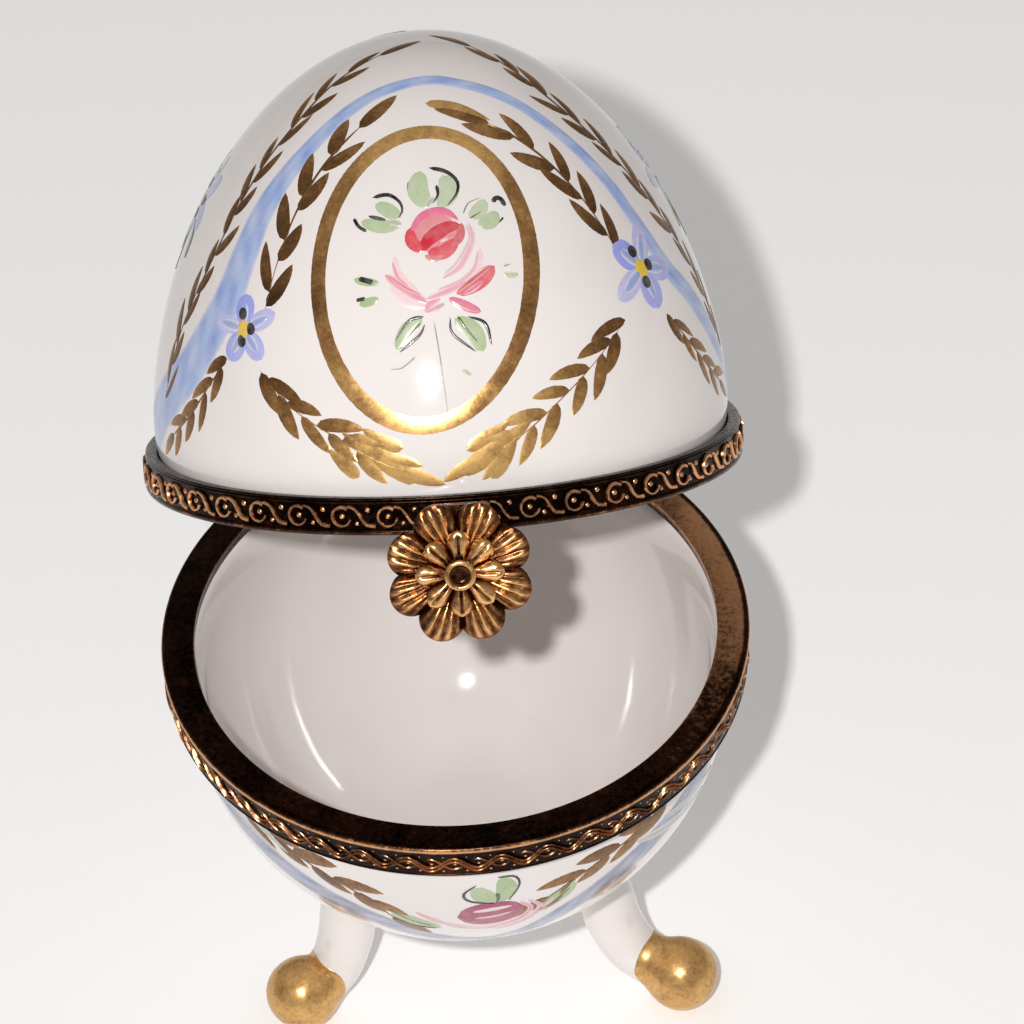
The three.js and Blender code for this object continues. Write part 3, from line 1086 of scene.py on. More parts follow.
@dataclass
class Band:
    """Metal rim band of one half.

    Attributes:
        half: where it stands.
        side: 1 above the parting face, -1 below it.
        node: CAD node that it replaces.
        name: piece name.
        field_radius: radius of the sunk field that the relief stands on.
        field_middle: height of the middle of that field from the parting face.
        bore: inner radius of the lip.
        seat: inner radius where it grips the porcelain.
        lip: thickness of the lip.
        height: from the parting face to its far edge.
        lit_sheen: painted highlight, how much brighter the right side of the lip is, where the light catches
            it.
    """

    half: Half
    side: int
    node: str
    name: str
    field_radius: float = 21.08
    field_middle: float = 1.36
    bore: float = 19.05
    seat: float = 20.45
    lip: float = 0.8
    height: float = BAND_HEIGHT
    lit_sheen: float = 0.0

    def body(self, rails: list[tuple[float, float, float, float]]) -> tuple[Places, list[float]]:
        """Outlines the band.

        Args:
            rails: centre radius, centre height, radius and brightness of each rounded rail, from the parting
                face on.

        Returns:
            The closed outline and the relief value of each of its points.
        """
        outline = [(self.bore, 0.06), (self.bore + 0.06, 0.0)]
        relief = [0.5, 0.3]
        for step in range(4):
            outline.append((self.bore + 0.3 + step * 0.5, 0.0))
            relief.append(0.2)
        for place, (radius, height, size, shine) in enumerate(rails):
            first = -90 if place == 0 else -62
            last = 90 if place == len(rails) - 1 and height + size > self.height - 0.1 else 62
            outline += arc((radius, height), size, first, last, 9)
            relief += [shine * share for share in (0.1, 0.2, 0.4, 0.8, 1.0, 0.8, 0.4, 0.2, 0.1)]
        outline += [(self.seat + 0.2, self.height), (self.seat, self.height - 0.06), (self.seat, self.lip)]
        relief += [0.1, 0.2, 0.1]
        outline += [(self.bore, self.lip)]
        relief += [0.1]
        return [(r, self.side * z) for r, z in outline], relief

    def shell(self, rails: list[tuple[float, float, float, float]]) -> Piece:
        """Turns the outline into the band's plain body."""
        outline, relief = self.body(rails)
        piece = Piece(self.name)
        tone = np.repeat(np.array(relief)[:, None], AROUND, axis=1)
        turn = np.linspace(0, 2 * math.pi, AROUND, endpoint=False)
        # painted highlight: the lip's first rows are brightened round the band's right side
        lip_rows, sheen_turn, sheen_spread = 6, 1.75, 0.75
        tone[:lip_rows] += self.lit_sheen * np.exp(-(((turn - sheen_turn) / sheen_spread) ** 2))
        piece.loft(round_axis(outline), tone, closed=True)
        return piece

    def strip(self, piece: Piece, turns: Array, heights: Array, half_width: Array, height: Array | float,
              section: Section, closed: bool = False) -> None:
        """Lays one raised strip on the band's field.

        Args:
            piece: piece that takes it.
            turns: angles round the band, in radians.
            heights: heights from the parting face.
            half_width: half width at each place.
            height: crown height.
            section: cross-section.
            closed: runs right round.
        """
        ground = BandField(self.field_radius)
        route = ground.at(turns, self.side * heights)
        rings = ridge(ground, route, half_width, height, section, closed)
        shine = 0.95
        piece.loft(rings, np.array(section.edge) * shine, closed=closed)

    def stud(self, piece: Piece, turn: float, height: float, radius: float) -> None:
        """Sets one bead on the band's field."""
        ground = BandField(self.field_radius)
        middle = ground.at(np.array(turn), np.array(self.side * height))
        tone = np.array([0.0, 0.5, 0.95, 1.0, 1.0])[:, None]
        piece.loft(bead(ground, middle, radius, radius * 0.95), tone)


@dataclass
class WaveBand(Band):
    """Lower band, with two interlaced waves between its rails.

    Attributes:
        waves: waves round the band.
        swing: how far each wave swings from the middle.
    """

    waves: int = 40
    swing: float = 0.5
    height: float = 2.97
    field_middle: float = 1.68
    # strength of the painted highlight on the lip's right side
    lit_sheen: float = 0.75

    def build(self, brass: Brass) -> None:
        """Builds the band.

        Args:
            brass: its finish.
        """
        piece = self.shell([(21.13, 0.3, 0.3, 1.0), (21.16, 2.86, 0.1, 0.35)])
        turns = np.linspace(0, 2 * math.pi, self.waves * 22, endpoint=False)
        phase = self.waves * turns
        strands = ((0.0, -0.17, 0.1, 0.3), (0.0, 0.17, 0.1, 0.3), (math.pi, 0.0, 0.09, 0.22))
        for lead, offset, width, over in strands:
            heights = self.field_middle + offset + self.swing * np.sin(phase + lead)
            rise = over + 0.08 * np.cos(phase + lead)
            self.strip(piece, turns, heights, np.full(len(turns), width), rise, STRAND, closed=True)
        pitch = math.pi / self.waves
        for k in range(self.waves * 2):
            self.stud(piece, (k + 0.5) * pitch, self.field_middle, 0.2)
            self.stud(piece, k * pitch, self.field_middle + 0.74, 0.17)
            self.stud(piece, k * pitch, self.field_middle - 0.74, 0.2)
        piece.make(self.half, brass, (self.node,))


@dataclass
class ScrollBand(Band):
    """Upper band, with a row of scrolls between its rails.

    Attributes:
        scrolls: scrolls round the band.
    """

    scrolls: int = 41

    def build(self, brass: Brass) -> None:
        """Builds the band.

        Args:
            brass: its finish.
        """
        piece = self.shell([(21.14, 0.26, 0.24, 0.5), (21.18, 2.3, 0.1, 0.3), (21.14, 2.5, 0.11, 0.3)])
        middle = self.field_middle
        pitch = 2 * math.pi / self.scrolls
        scroll = np.array(arc((-0.58, 0.0), 0.66, 50, 345, 16))
        slash = spline(np.array([(-0.1, 0.7), (0.45, 0.5), (1.1, -0.5), (1.8, -0.66)]), 9)
        for k in range(self.scrolls):
            start = k * pitch
            for route, width in ((scroll, np.linspace(0.21, 0.14, 16)), (slash, np.linspace(0.15, 0.24, 9))):
                turns = start + route[:, 0] / self.field_radius
                self.strip(piece, turns, middle + route[:, 1], width, 0.4, CORD)
            self.stud(piece, start - 0.58 / self.field_radius, middle, 0.28)
            self.stud(piece, start + 1.25 / self.field_radius, middle + 0.45, 0.26)
            self.stud(piece, start + 0.45 / self.field_radius, middle - 0.5, 0.24)
        piece.make(self.half, brass, (self.node,))


@dataclass
class HingeLeaf:
    """Leaf of the back hinge, soldered to a band, with its knuckles.

    Attributes:
        half: where it stands.
        side: 1 for the lid's leaf, -1 for the base's.
        knuckles: (from, to) along the hinge of each knuckle.
        node: CAD node that it replaces.
        name: piece name.
        length: length along the hinge.
        radius: outer radius of the plate about the egg's axis.
        thickness: thickness of the plate.
        near: height of its near edge from the parting face.
        far: height of its far edge.
        knuckle_radius: radius of a knuckle.
    """

    half: Half
    side: int
    knuckles: tuple[tuple[float, float], ...]
    node: str
    name: str
    length: float = 9.2
    radius: float = 21.6
    thickness: float = 0.5
    near: float = 0.4
    far: float = 2.4
    knuckle_radius: float = 1.15

    def plate(self, piece: Piece) -> None:
        """Adds the curved plate, with rounded corners and a rolled edge."""
        rows = []
        for x in np.linspace(-self.length / 2, self.length / 2, 25):
            trim = 0.35 * max(0.0, abs(x) / (self.length / 2) - 0.86) / 0.14
            inner = math.sqrt((self.radius - self.thickness) ** 2 - x**2)
            outer = math.sqrt(self.radius**2 - x**2) + 0.12
            near, far = self.near + trim, self.far - trim
            low = [(inner, near), (outer - 0.12, near), (outer, near + 0.12)]
            high = [(outer, far - 0.12), (outer - 0.12, far), (inner, far)]
            rows.append([(x, y, self.side * z) for y, z in low + high])
        piece.loft(np.array(rows), 0.5)

    def knuckle(self, piece: Piece, start: float, end: float) -> None:
        """Adds one knuckle, rolled from the leaf round the pin."""
        axis = -PARTING_GAP if self.side > 0 else 0.0
        size = self.knuckle_radius
        rows = []
        for x, shrink in ((start, 0.12), (start + 0.1, 0.0), (end - 0.1, 0.0), (end, 0.12)):
            outside = arc((HINGE_SETBACK, 0.0), size - shrink, 118, -88, 20)
            outside += [(self.radius + 0.1, -size + shrink), (self.radius - 0.2, -size - 0.2 + shrink)]
            outside += [(self.radius - 0.2, -self.near), (self.radius + 0.25, -self.near + 0.1)]
            rows.append([(x, y, axis - self.side * z) for y, z in outside])
        piece.loft(np.array(rows), 0.62)

    def build(self, brass: Brass) -> None:
        """Builds the leaf.

        Args:
            brass: its finish.
        """
        piece = Piece(self.name)
        self.plate(piece)
        for start, end in self.knuckles:
            self.knuckle(piece, start, end)
        piece.make(self.half, brass, (self.node,), METAL_CREASE)


@dataclass
class HingePin:
    """Pin through the knuckles, with a domed head at each end.

    Attributes:
        half: where it stands.
        length: length under the heads.
        radius: radius of the pin.
        head_radius: radius of a head.
        head_rise: height of a head's dome.
    """

    half: Half
    length: float = 9.2
    radius: float = 0.5
    head_radius: float = 0.85
    head_rise: float = 0.5

    def build(self, brass: Brass) -> None:
        """Builds the pin.

        Args:
            brass: its finish.
        """
        end = self.length / 2
        head = [(r, end + 0.02 + h) for r, h in arc((0, 0), self.head_rise, 0, 84, 7)]
        scale = self.head_radius / self.head_rise
        profile = [(self.radius, end)] + [(r * scale, h) for r, h in head]
        profile = [(r, -h) for r, h in reversed(profile)] + profile
        rings = round_axis(profile, 28)
        turned = np.stack([rings[..., 2], rings[..., 0] + HINGE_SETBACK, rings[..., 1]], axis=-1)
        piece = Piece("brass_hinge_pin")
        piece.loft(turned, 0.7)
        piece.make(self.half, brass, ("hinge_pin",), METAL_CREASE)


@dataclass
class Clasp:
    """Flower clasp on the lid's band: tongue, two-tier rosette and dished rivet.

    Attributes:
        half: where it stands.
        azimuth: how far right of the front it sits.
        tilt: how far the rosette's foot tucks in, in degrees.
        drop: rosette centre below the parting face.
        back: distance of the tongue's back from the egg's axis.
        tongue_thickness: thickness of the tongue.
        petals: petals of each tier.
        petal_centre: distance of an outer petal's rounded end from the middle.
        petal_radius: radius of that end.
        heart: share of the radius at which the petals start.
        seats: heights of the two tiers and the rivet in front of the tongue.
    """

    half: Half
    azimuth: float = 2.1
    tilt: float = 4.0
    drop: float = 2.35
    back: float = 21.6
    tongue_thickness: float = 0.6
    petals: int = 8
    petal_centre: float = 3.5
    petal_radius: float = 1.6
    heart: float = 0.06
    seats: tuple[float, float, float] = (0.37, 0.62, 1.42)

    def place(self, points: Array, seat: float) -> Array:
        """Turns the clasp's own frame, +Z out of the flower, into the lid's frame.

        Args:
            points: (..., 3) points, x right, y up and z out.
            seat: distance of z = 0 in front of the tongue's back.

        Returns:
            (..., 3) points.
        """
        lean = math.radians(self.tilt)
        out = points[..., 2]
        y = -(self.back + seat) - out * math.cos(lean) - points[..., 1] * math.sin(lean)
        z = -self.drop + points[..., 1] * math.cos(lean) - out * math.sin(lean)
        turn = math.radians(self.azimuth)
        x = points[..., 0] * math.cos(turn) - y * math.sin(turn)
        return np.stack([x, points[..., 0] * math.sin(turn) + y * math.cos(turn), z], axis=-1)

    def flower(self, outline: Array, height: Array, thickness: float) -> Array:
        """Makes a flower-shaped plate as rings of a closed body, from its back to its front.

        Args:
            outline: (m,) radius of the rim at each angle.
            height: (rows, m) height of the front, from the middle to the rim.
            thickness: thickness of the plate at its rim.

        Returns:
            (n, m, 3) rings.
        """
        turn = np.linspace(0, 2 * math.pi, len(outline), endpoint=False)
        under = np.full_like(turn, -thickness)
        rows = list(zip(np.linspace(self.heart, 1, len(height)), height))
        rows += [(1.004, height[-1] - 0.1), (0.99, under), (self.heart, under)]
        rings = []
        for share, level in rows:
            reach = outline * share
            rings.append(np.stack([reach * np.sin(turn), reach * np.cos(turn), level], axis=-1))
        return np.array(rings)

    def lobes(self, count: int) -> Array:
        """Gives each angle's place across its petal.

        Args:
            count: angles round the flower.

        Returns:
            (count,) places from -1 to 1.
        """
        turn = np.linspace(0, 2 * math.pi, count, endpoint=False)
        step = 2 * math.pi / self.petals
        number = np.floor(turn / step)
        return (turn - (number + 0.5) * step) / (step / 2)

    def outer_tier(self, piece: Piece) -> None:
        """Adds the eight rounded, fluted petals."""
        across = self.lobes(self.petals * 40)
        angle = across * math.pi / self.petals
        centre, size = self.petal_centre, self.petal_radius
        outline = centre * np.cos(angle) + np.sqrt(np.clip(size**2 - (centre * np.sin(angle)) ** 2, 0, None))
        share = np.linspace(self.heart, 1, 22)[:, None]
        swell = np.clip(1 - np.abs(across) ** 3.2, 0, 1) * np.clip((share - 0.28) / 0.4, 0, 1) ** 0.7
        roll = np.sqrt(np.clip(1 - np.clip((share - 0.62) / 0.42, 0, 1) ** 2.6, 0.02, 1))
        flute = 0.5 + 0.5 * np.cos(across * math.pi * 5)
        depth = np.clip((share - 0.36) / 0.2, 0, 1) * np.clip((1.02 - share) / 0.2, 0, 1)
        height = 0.12 + 0.62 * swell * roll - 0.24 * (1 - flute) * depth * swell
        tone = np.clip(0.1 + 0.95 * swell * roll * (0.35 + 0.65 * flute), 0, 1)
        rings = self.flower(outline, height, 0.22)
        piece.loft(self.place(rings, self.tongue_thickness + self.seats[0]), self.tones(tone))

    def inner_tier(self, piece: Piece) -> None:
        """Adds the eight pointed petals, each with a sunk midrib."""
        spread = np.abs((self.lobes(self.petals * 32) + 2) % 2 - 1)
        outline = 2.25 + 0.8 * (1 - spread**1.7) ** 0.75
        share = np.linspace(self.heart, 1, 18)[:, None]
        width = np.clip(1 - spread**2.2, 0, 1)
        rib = np.exp(-((spread / 0.16) ** 2)) * np.clip((share - 0.3) / 0.2, 0, 1)
        rib = rib * np.clip((1 - share) / 0.15, 0, 1)
        dip = np.clip((share - 0.3) / 0.3, 0, 1)
        height = 0.55 + 0.2 * width * dip - 0.3 * (1 - width) * dip - 0.16 * rib
        height = height * (1 - 0.3 * np.clip((share - 0.85) / 0.15, 0, 1) ** 2)
        tone = np.clip(0.25 + 0.75 * width * dip - 0.7 * rib, 0, 1)
        rings = self.flower(outline, height, 0.1)
        piece.loft(self.place(rings, self.tongue_thickness + self.seats[1]), self.tones(tone))

    @staticmethod
    def tones(front: Array) -> Array:
        """Adds dark rows for the rim and the back to the front's relief values."""
        return np.vstack([front, front[-1:] * 0.6, np.full((2, front.shape[1]), 0.15)])

    def rivet(self, piece: Piece) -> None:
        """Adds the rivet's dished head."""
        profile = [(0.45, -0.6), (0.96, -0.1), (1.06, 0.12)]
        profile += arc((0.9, 0.18), 0.2, 0, 150, 7)
        profile += [(0.62, 0.16), (0.4, 0.07), (0.12, 0.1), (0.04, 0.11)]
        relief = [0, 0.1, 0.4, 0.7, 0.9, 1, 1, 0.9, 0.7, 0.5, 0.2, 0.15, 0.3, 0.35]
        rings = self.place(round_axis(profile, 36), self.tongue_thickness + self.seats[2])
        piece.loft(rings, np.array(relief)[:, None])

    def tongue(self, piece: Piece) -> None:
        """Adds the strap that hangs from the band behind the flower."""
        rows = []
        for y, shrink in ((4.65, 0.25), (4.55, 0.0), (0.0, 0.0), (-1.6, 0.05), (-1.9, 0.5)):
            half, depth = 1.7 - shrink, self.tongue_thickness
            rows.append([(-half, y, 0.05), (-half, y, depth - 0.1), (-half + 0.1, y, depth),
                         (half - 0.1, y, depth), (half, y, depth - 0.1), (half, y, 0.05)])
        piece.loft(self.place(np.array(rows), 0.0), 0.4)

    def build(self, gilt: Brass) -> None:
        """Builds the clasp.

        Args:
            gilt: its finish.
        """
        tongue, rosette, rivet = Piece("clasp_strap"), Piece("flower_rosette"), Piece("rosette_rivet")
        self.tongue(tongue)
        self.outer_tier(rosette)
        self.inner_tier(rosette)
        self.rivet(rivet)
        tongue.make(self.half, gilt, ("clasp_tongue",), METAL_CREASE)
        rosette.make(self.half, gilt, ("clasp_rosette",), PETAL_CREASE)
        rivet.make(self.half, gilt, ("clasp_rivet",), PETAL_CREASE)


# Painting ------------------------------------------------------------------------------------------------


@dataclass(frozen=True)
class Stroke:
    """One stroke of the brush in a flat motif.

    Attributes:
        route: millimetres right and up from the motif's middle.
        width: half the full width.
        pigment: its colour.
        load: how much paint it carries, 1 for full cover.
        taper: how its width runs.
        layer: strokes of a higher layer lie over lower ones.
        soft: its edges fade into the glaze.
    """

    route: Route
    width: float
    pigment: Pigment
    load: float = 1.0
    taper: Taper = Taper.PETAL
    layer: int = 0
    soft: bool = False


def wash(route: Route, width: float, pigment: Pigment, load: float, layer: int = 0) -> Stroke:
    """Designs a petal-shaped stroke whose edges fade into the glaze.

    Args:
        route: millimetres right and up from the motif's middle.
        width: half the full width.
        pigment: its colour.
        load: how much paint it carries.
        layer: strokes of a higher layer lie over lower ones.

    Returns:
        The stroke.
    """
    return Stroke(route, width, pigment, load, Taper.PETAL, layer, True)


def line(route: Route, width: float, pigment: Pigment = Pigment.BLACK, load: float = 1,
         layer: int = 2) -> Stroke:
    """Designs an outline or stem that thins towards its end.

    Args:
        route: millimetres right and up from the motif's middle.
        width: half the full width.
        pigment: its colour.
        load: how much paint it carries.
        layer: strokes of a higher layer lie over lower ones.

    Returns:
        The stroke.
    """
    return Stroke(route, width, pigment, load, Taper.LINE, layer)


def shade(pigment: Pigment, load: Array | float) -> Array:
    """Thins a colour towards the glaze.

    Args:
        pigment: the colour.
        load: 1 for full cover, 0 for bare glaze; any shape.

    Returns:
        Colours, with one more axis than load.
    """
    share = np.asarray(load, float)[..., None]
    return np.array(pigment.value) * share + np.array(Pigment.GLAZE.value) * (1 - share)


@dataclass
class Painter:
    """Lays strokes of colour and gold on one skin.

    Attributes:
        skin: skin that is painted.
        chance: source of small, repeatable differences.
    """

    skin: EggSkin
    chance: np.random.Generator = field(default_factory=lambda: np.random.default_rng(SEED))

    def sweep(self, piece: Piece, route: Array, width: float | Array, taper: Taper, pigment: Pigment,
              load: Array | float = 1.0, layer: int = 0, soft: bool = False,
              tone: Array | float = 0.5) -> None:
        """Lays one stroke along points on the skin.

        Args:
            piece: piece that takes it.
            route: (n, 3) points.
            width: half width, one value or one a point.
            taper: how its width runs.
            pigment: colour of an enamel stroke.
            load: how much paint, one value or one a point.
            layer: strokes of a higher layer lie over lower ones.
            soft: fade its edges.
            tone: brightness of a gold stroke, one value or one a point.
        """
        along = np.linspace(0, 1, len(route))
        section = WASH if soft else BRUSH
        rings = ridge(self.skin, route, width * taper.widths(along), PAINT_HEIGHT, section)
        rings = rings + self.skin.normals(route)[:, None, :] * (LAYER_LIFT * layer)
        cover = np.broadcast_to(load, len(route))[:, None] * np.array(section.edge)
        piece.loft(rings, np.broadcast_to(tone, len(route))[:, None], shade(pigment, cover))

    def motif(self, piece: Piece, middle: tuple[float, float], strokes: list[Stroke], tilt: float = 0.0,
              scale: float = 1.0) -> None:
        """Lays a flat motif.

        Args:
            piece: piece that takes it.
            middle: azimuth and height of its middle.
            strokes: its strokes.
            tilt: turns it clockwise, in degrees.
            scale: enlarges it.
        """
        for stroke in strokes:
            knots = spline(np.array(stroke.route) * scale, 14)
            route = self.skin.drape(middle, knots, tilt)
            self.sweep(piece, route, stroke.width * scale, stroke.taper, stroke.pigment, stroke.load,
                       stroke.layer, stroke.soft)

    def trail(self, places: Places, count: int, turn: float = 0.0) -> Array:
        """Runs a smooth route over the skin.

        Args:
            places: (azimuth, height) pairs that it passes.
            count: points wanted.
            turn: turns the whole route about the egg's axis, in degrees.

        Returns:
            (count, 3) points on the skin.
        """
        knots = self.skin.at([(azimuth + turn, height) for azimuth, height in places])
        return self.skin.project(spline(knots, count), 0.0)

    def leaf(self, piece: Piece, start: Array, heading: Array, length: float, width: float, bend: float,
             tone: float) -> None:
        """Lays one pointed gold leaf.

        Args:
            piece: piece that takes it.
            start: point on the skin.
            heading: direction that the leaf points.
            length: its length.
            width: half its width.
            bend: how far it curves sideways.
            tone: brightness of its gold at the root; the tip is a little brighter.
        """
        out = self.skin.normals(start)
        sideways = unit(np.cross(out, heading))
        count = 11
        s = np.linspace(0, 1, count)[:, None]
        route = start + heading * length * s + sideways * bend * length * s**2
        tones = np.clip(tone + np.linspace(-0.12, 0.16, count), 0, 1)
        self.sweep(piece, self.skin.project(route, 0.0), width, Taper.LEAF, Pigment.BRONZE, tone=tones)

    def garland(self, piece: Piece, places: Places, pairs: int, length: float = 3.1, width: float = 0.5,
                tones: tuple[float, float] = (0.15, 0.3), turn: float = 0.0, spread: float = 24,
                stem: float = 0.15) -> None:
        """Lays a stem with pairs of leaves that point to its far end.

        Args:
            piece: piece that takes it.
            places: (azimuth, height) pairs along the stem, root first.
            pairs: pairs of leaves.
            length: length of a leaf.
            width: half its width.
            tones: brightness of the gold at the root and at the tip.
            turn: turns the whole garland about the egg's axis, in degrees.
            spread: angle between a leaf and the stem, in degrees.
            stem: half width of the stem.
        """
        count, last_leaf = 60, 56
        route = self.trail(places, count, turn)
        along = unit(np.gradient(route, axis=0))
        self.sweep(piece, route, stem, Taper.FAN, Pigment.BRONZE, tone=np.linspace(*tones, count))
        for k in range(pairs):
            for hand in (-1, 1):
                share = (k + 0.25 + 0.22 * hand + self.chance.uniform(-0.08, 0.08)) / pairs
                place = int(np.clip(share, 0, 1) * last_leaf)
                angle = math.radians(spread + self.chance.uniform(-7, 7))
                sideways = np.cross(self.skin.normals(route[place]), along[place])
                heading = along[place] * math.cos(angle) + hand * sideways * math.sin(angle)
                size = length * self.chance.uniform(0.86, 1.12)
                tone = tones[0] + (tones[1] - tones[0]) * share + self.chance.uniform(-0.06, 0.06)
                self.leaf(piece, route[place], heading, size, width * self.chance.uniform(0.85, 1.1),
                          -0.18 * hand, tone)
        self.leaf(piece, route[-2], along[-2], length * 1.1, width, 0.05, tones[1])

    def ribbon(self, piece: Piece, places: Places, widths: list[float], turn: float = 0.0,
               pale: Pigment = Pigment.SKY, dark: Pigment = Pigment.BLUE) -> None:
        """Lays a pale ribbon, streaked along and slantwise with a darker colour.

        Args:
            piece: piece that takes it.
            places: (azimuth, height) pairs along it.
            widths: half width at even places along it.
            turn: turns it about the egg's axis, in degrees.
            pale: colour of its wash.
            dark: colour of its streaks.
        """
        count = 200
        lane = np.linspace(-1, 1, 15)
        route = self.trail(places, count, turn)
        width = np.interp(np.linspace(0, 1, count), np.linspace(0, 1, len(widths)), widths)[:, None]
        along = unit(np.gradient(route, axis=0))
        sideways = np.cross(self.skin.normals(route), along)
        flat = route[:, None, :] - sideways[:, None, :] * (width * lane)[..., None]
        top = self.skin.project(flat, np.broadcast_to(0.026 * (1 - lane**2) - 0.005, flat.shape[:2]))
        under = self.skin.project(flat[:, [-2, 1]], np.full((count, 2), UNDERSIDE))
        run = np.cumsum(np.linalg.norm(np.gradient(route, axis=0), axis=1))[:, None]
        slant = np.sin(2.3 * (run + 1.5 * width * lane)) + 0.6 * np.sin(0.8 * run + 3 * lane)
        hair = np.sin(7 * lane + 0.8 * np.sin(0.3 * run))
        share = np.clip(0.42 + 0.28 * slant + 0.18 * hair, 0, 1)[..., None]
        cover = (np.clip(4.5 * (1 - np.abs(lane)), 0, 1) * (0.84 + 0.08 * np.sin(1.7 * run)))[..., None]
        colour = np.array(pale.value) * (1 - share) + np.array(dark.value) * share
        colour = colour * cover + np.array(Pigment.GLAZE.value) * (1 - cover)
        colour = np.concatenate([colour, colour[:, [-1, 0]]], axis=1)
        piece.loft(np.concatenate([top, under], axis=1), 0.0, colour)


def blossom(scale: float = 1.0, lean: float = 0.0) -> list[Stroke]:
    """Designs a small blue flower: five soft petals, a yellow eye and three dark seeds.

    Args:
        scale: enlarges it.
        lean: turns it, in degrees.

    Returns:
        Its strokes.
    """
    strokes = []
    for k in range(5):
        angle = math.radians(lean + 72 * k)
        side = (math.cos(angle), math.sin(angle))
        reach = (2.05, 1.75, 2.2, 1.8, 1.95)[k] * scale
        route = ((side[0] * 0.35, side[1] * 0.35), (side[0] * reach, side[1] * reach))
        width = (0.5, 0.62, 0.46, 0.66, 0.55)[k] * scale
        load = (0.6, 0.9, 0.55, 0.8, 0.7)[k]
        strokes.append(Stroke(route, width, Pigment.VIOLET, load, layer=1))
        inner = ((side[0] * 0.4, side[1] * 0.4), (side[0] * reach * 0.75, side[1] * reach * 0.75))
        strokes.append(wash(inner, 0.3 * scale, Pigment.BLUE, 0.8, 2))
    eye = ((-0.2 * scale, 0.6), (0.1 * scale, -0.6))
    strokes.append(Stroke(eye, 0.42 * scale, Pigment.YELLOW, 1, layer=3))
    for x, y in ((-0.25, 0.75), (0.45, 0.05), (-0.05, -0.6)):
        seed = ((x * scale - 0.2, y * scale + 0.4), (x * scale + 0.2, y * scale - 0.4))
        strokes.append(Stroke(seed, 0.27 * scale, Pigment.BLACK, 1, layer=4))
    return strokes


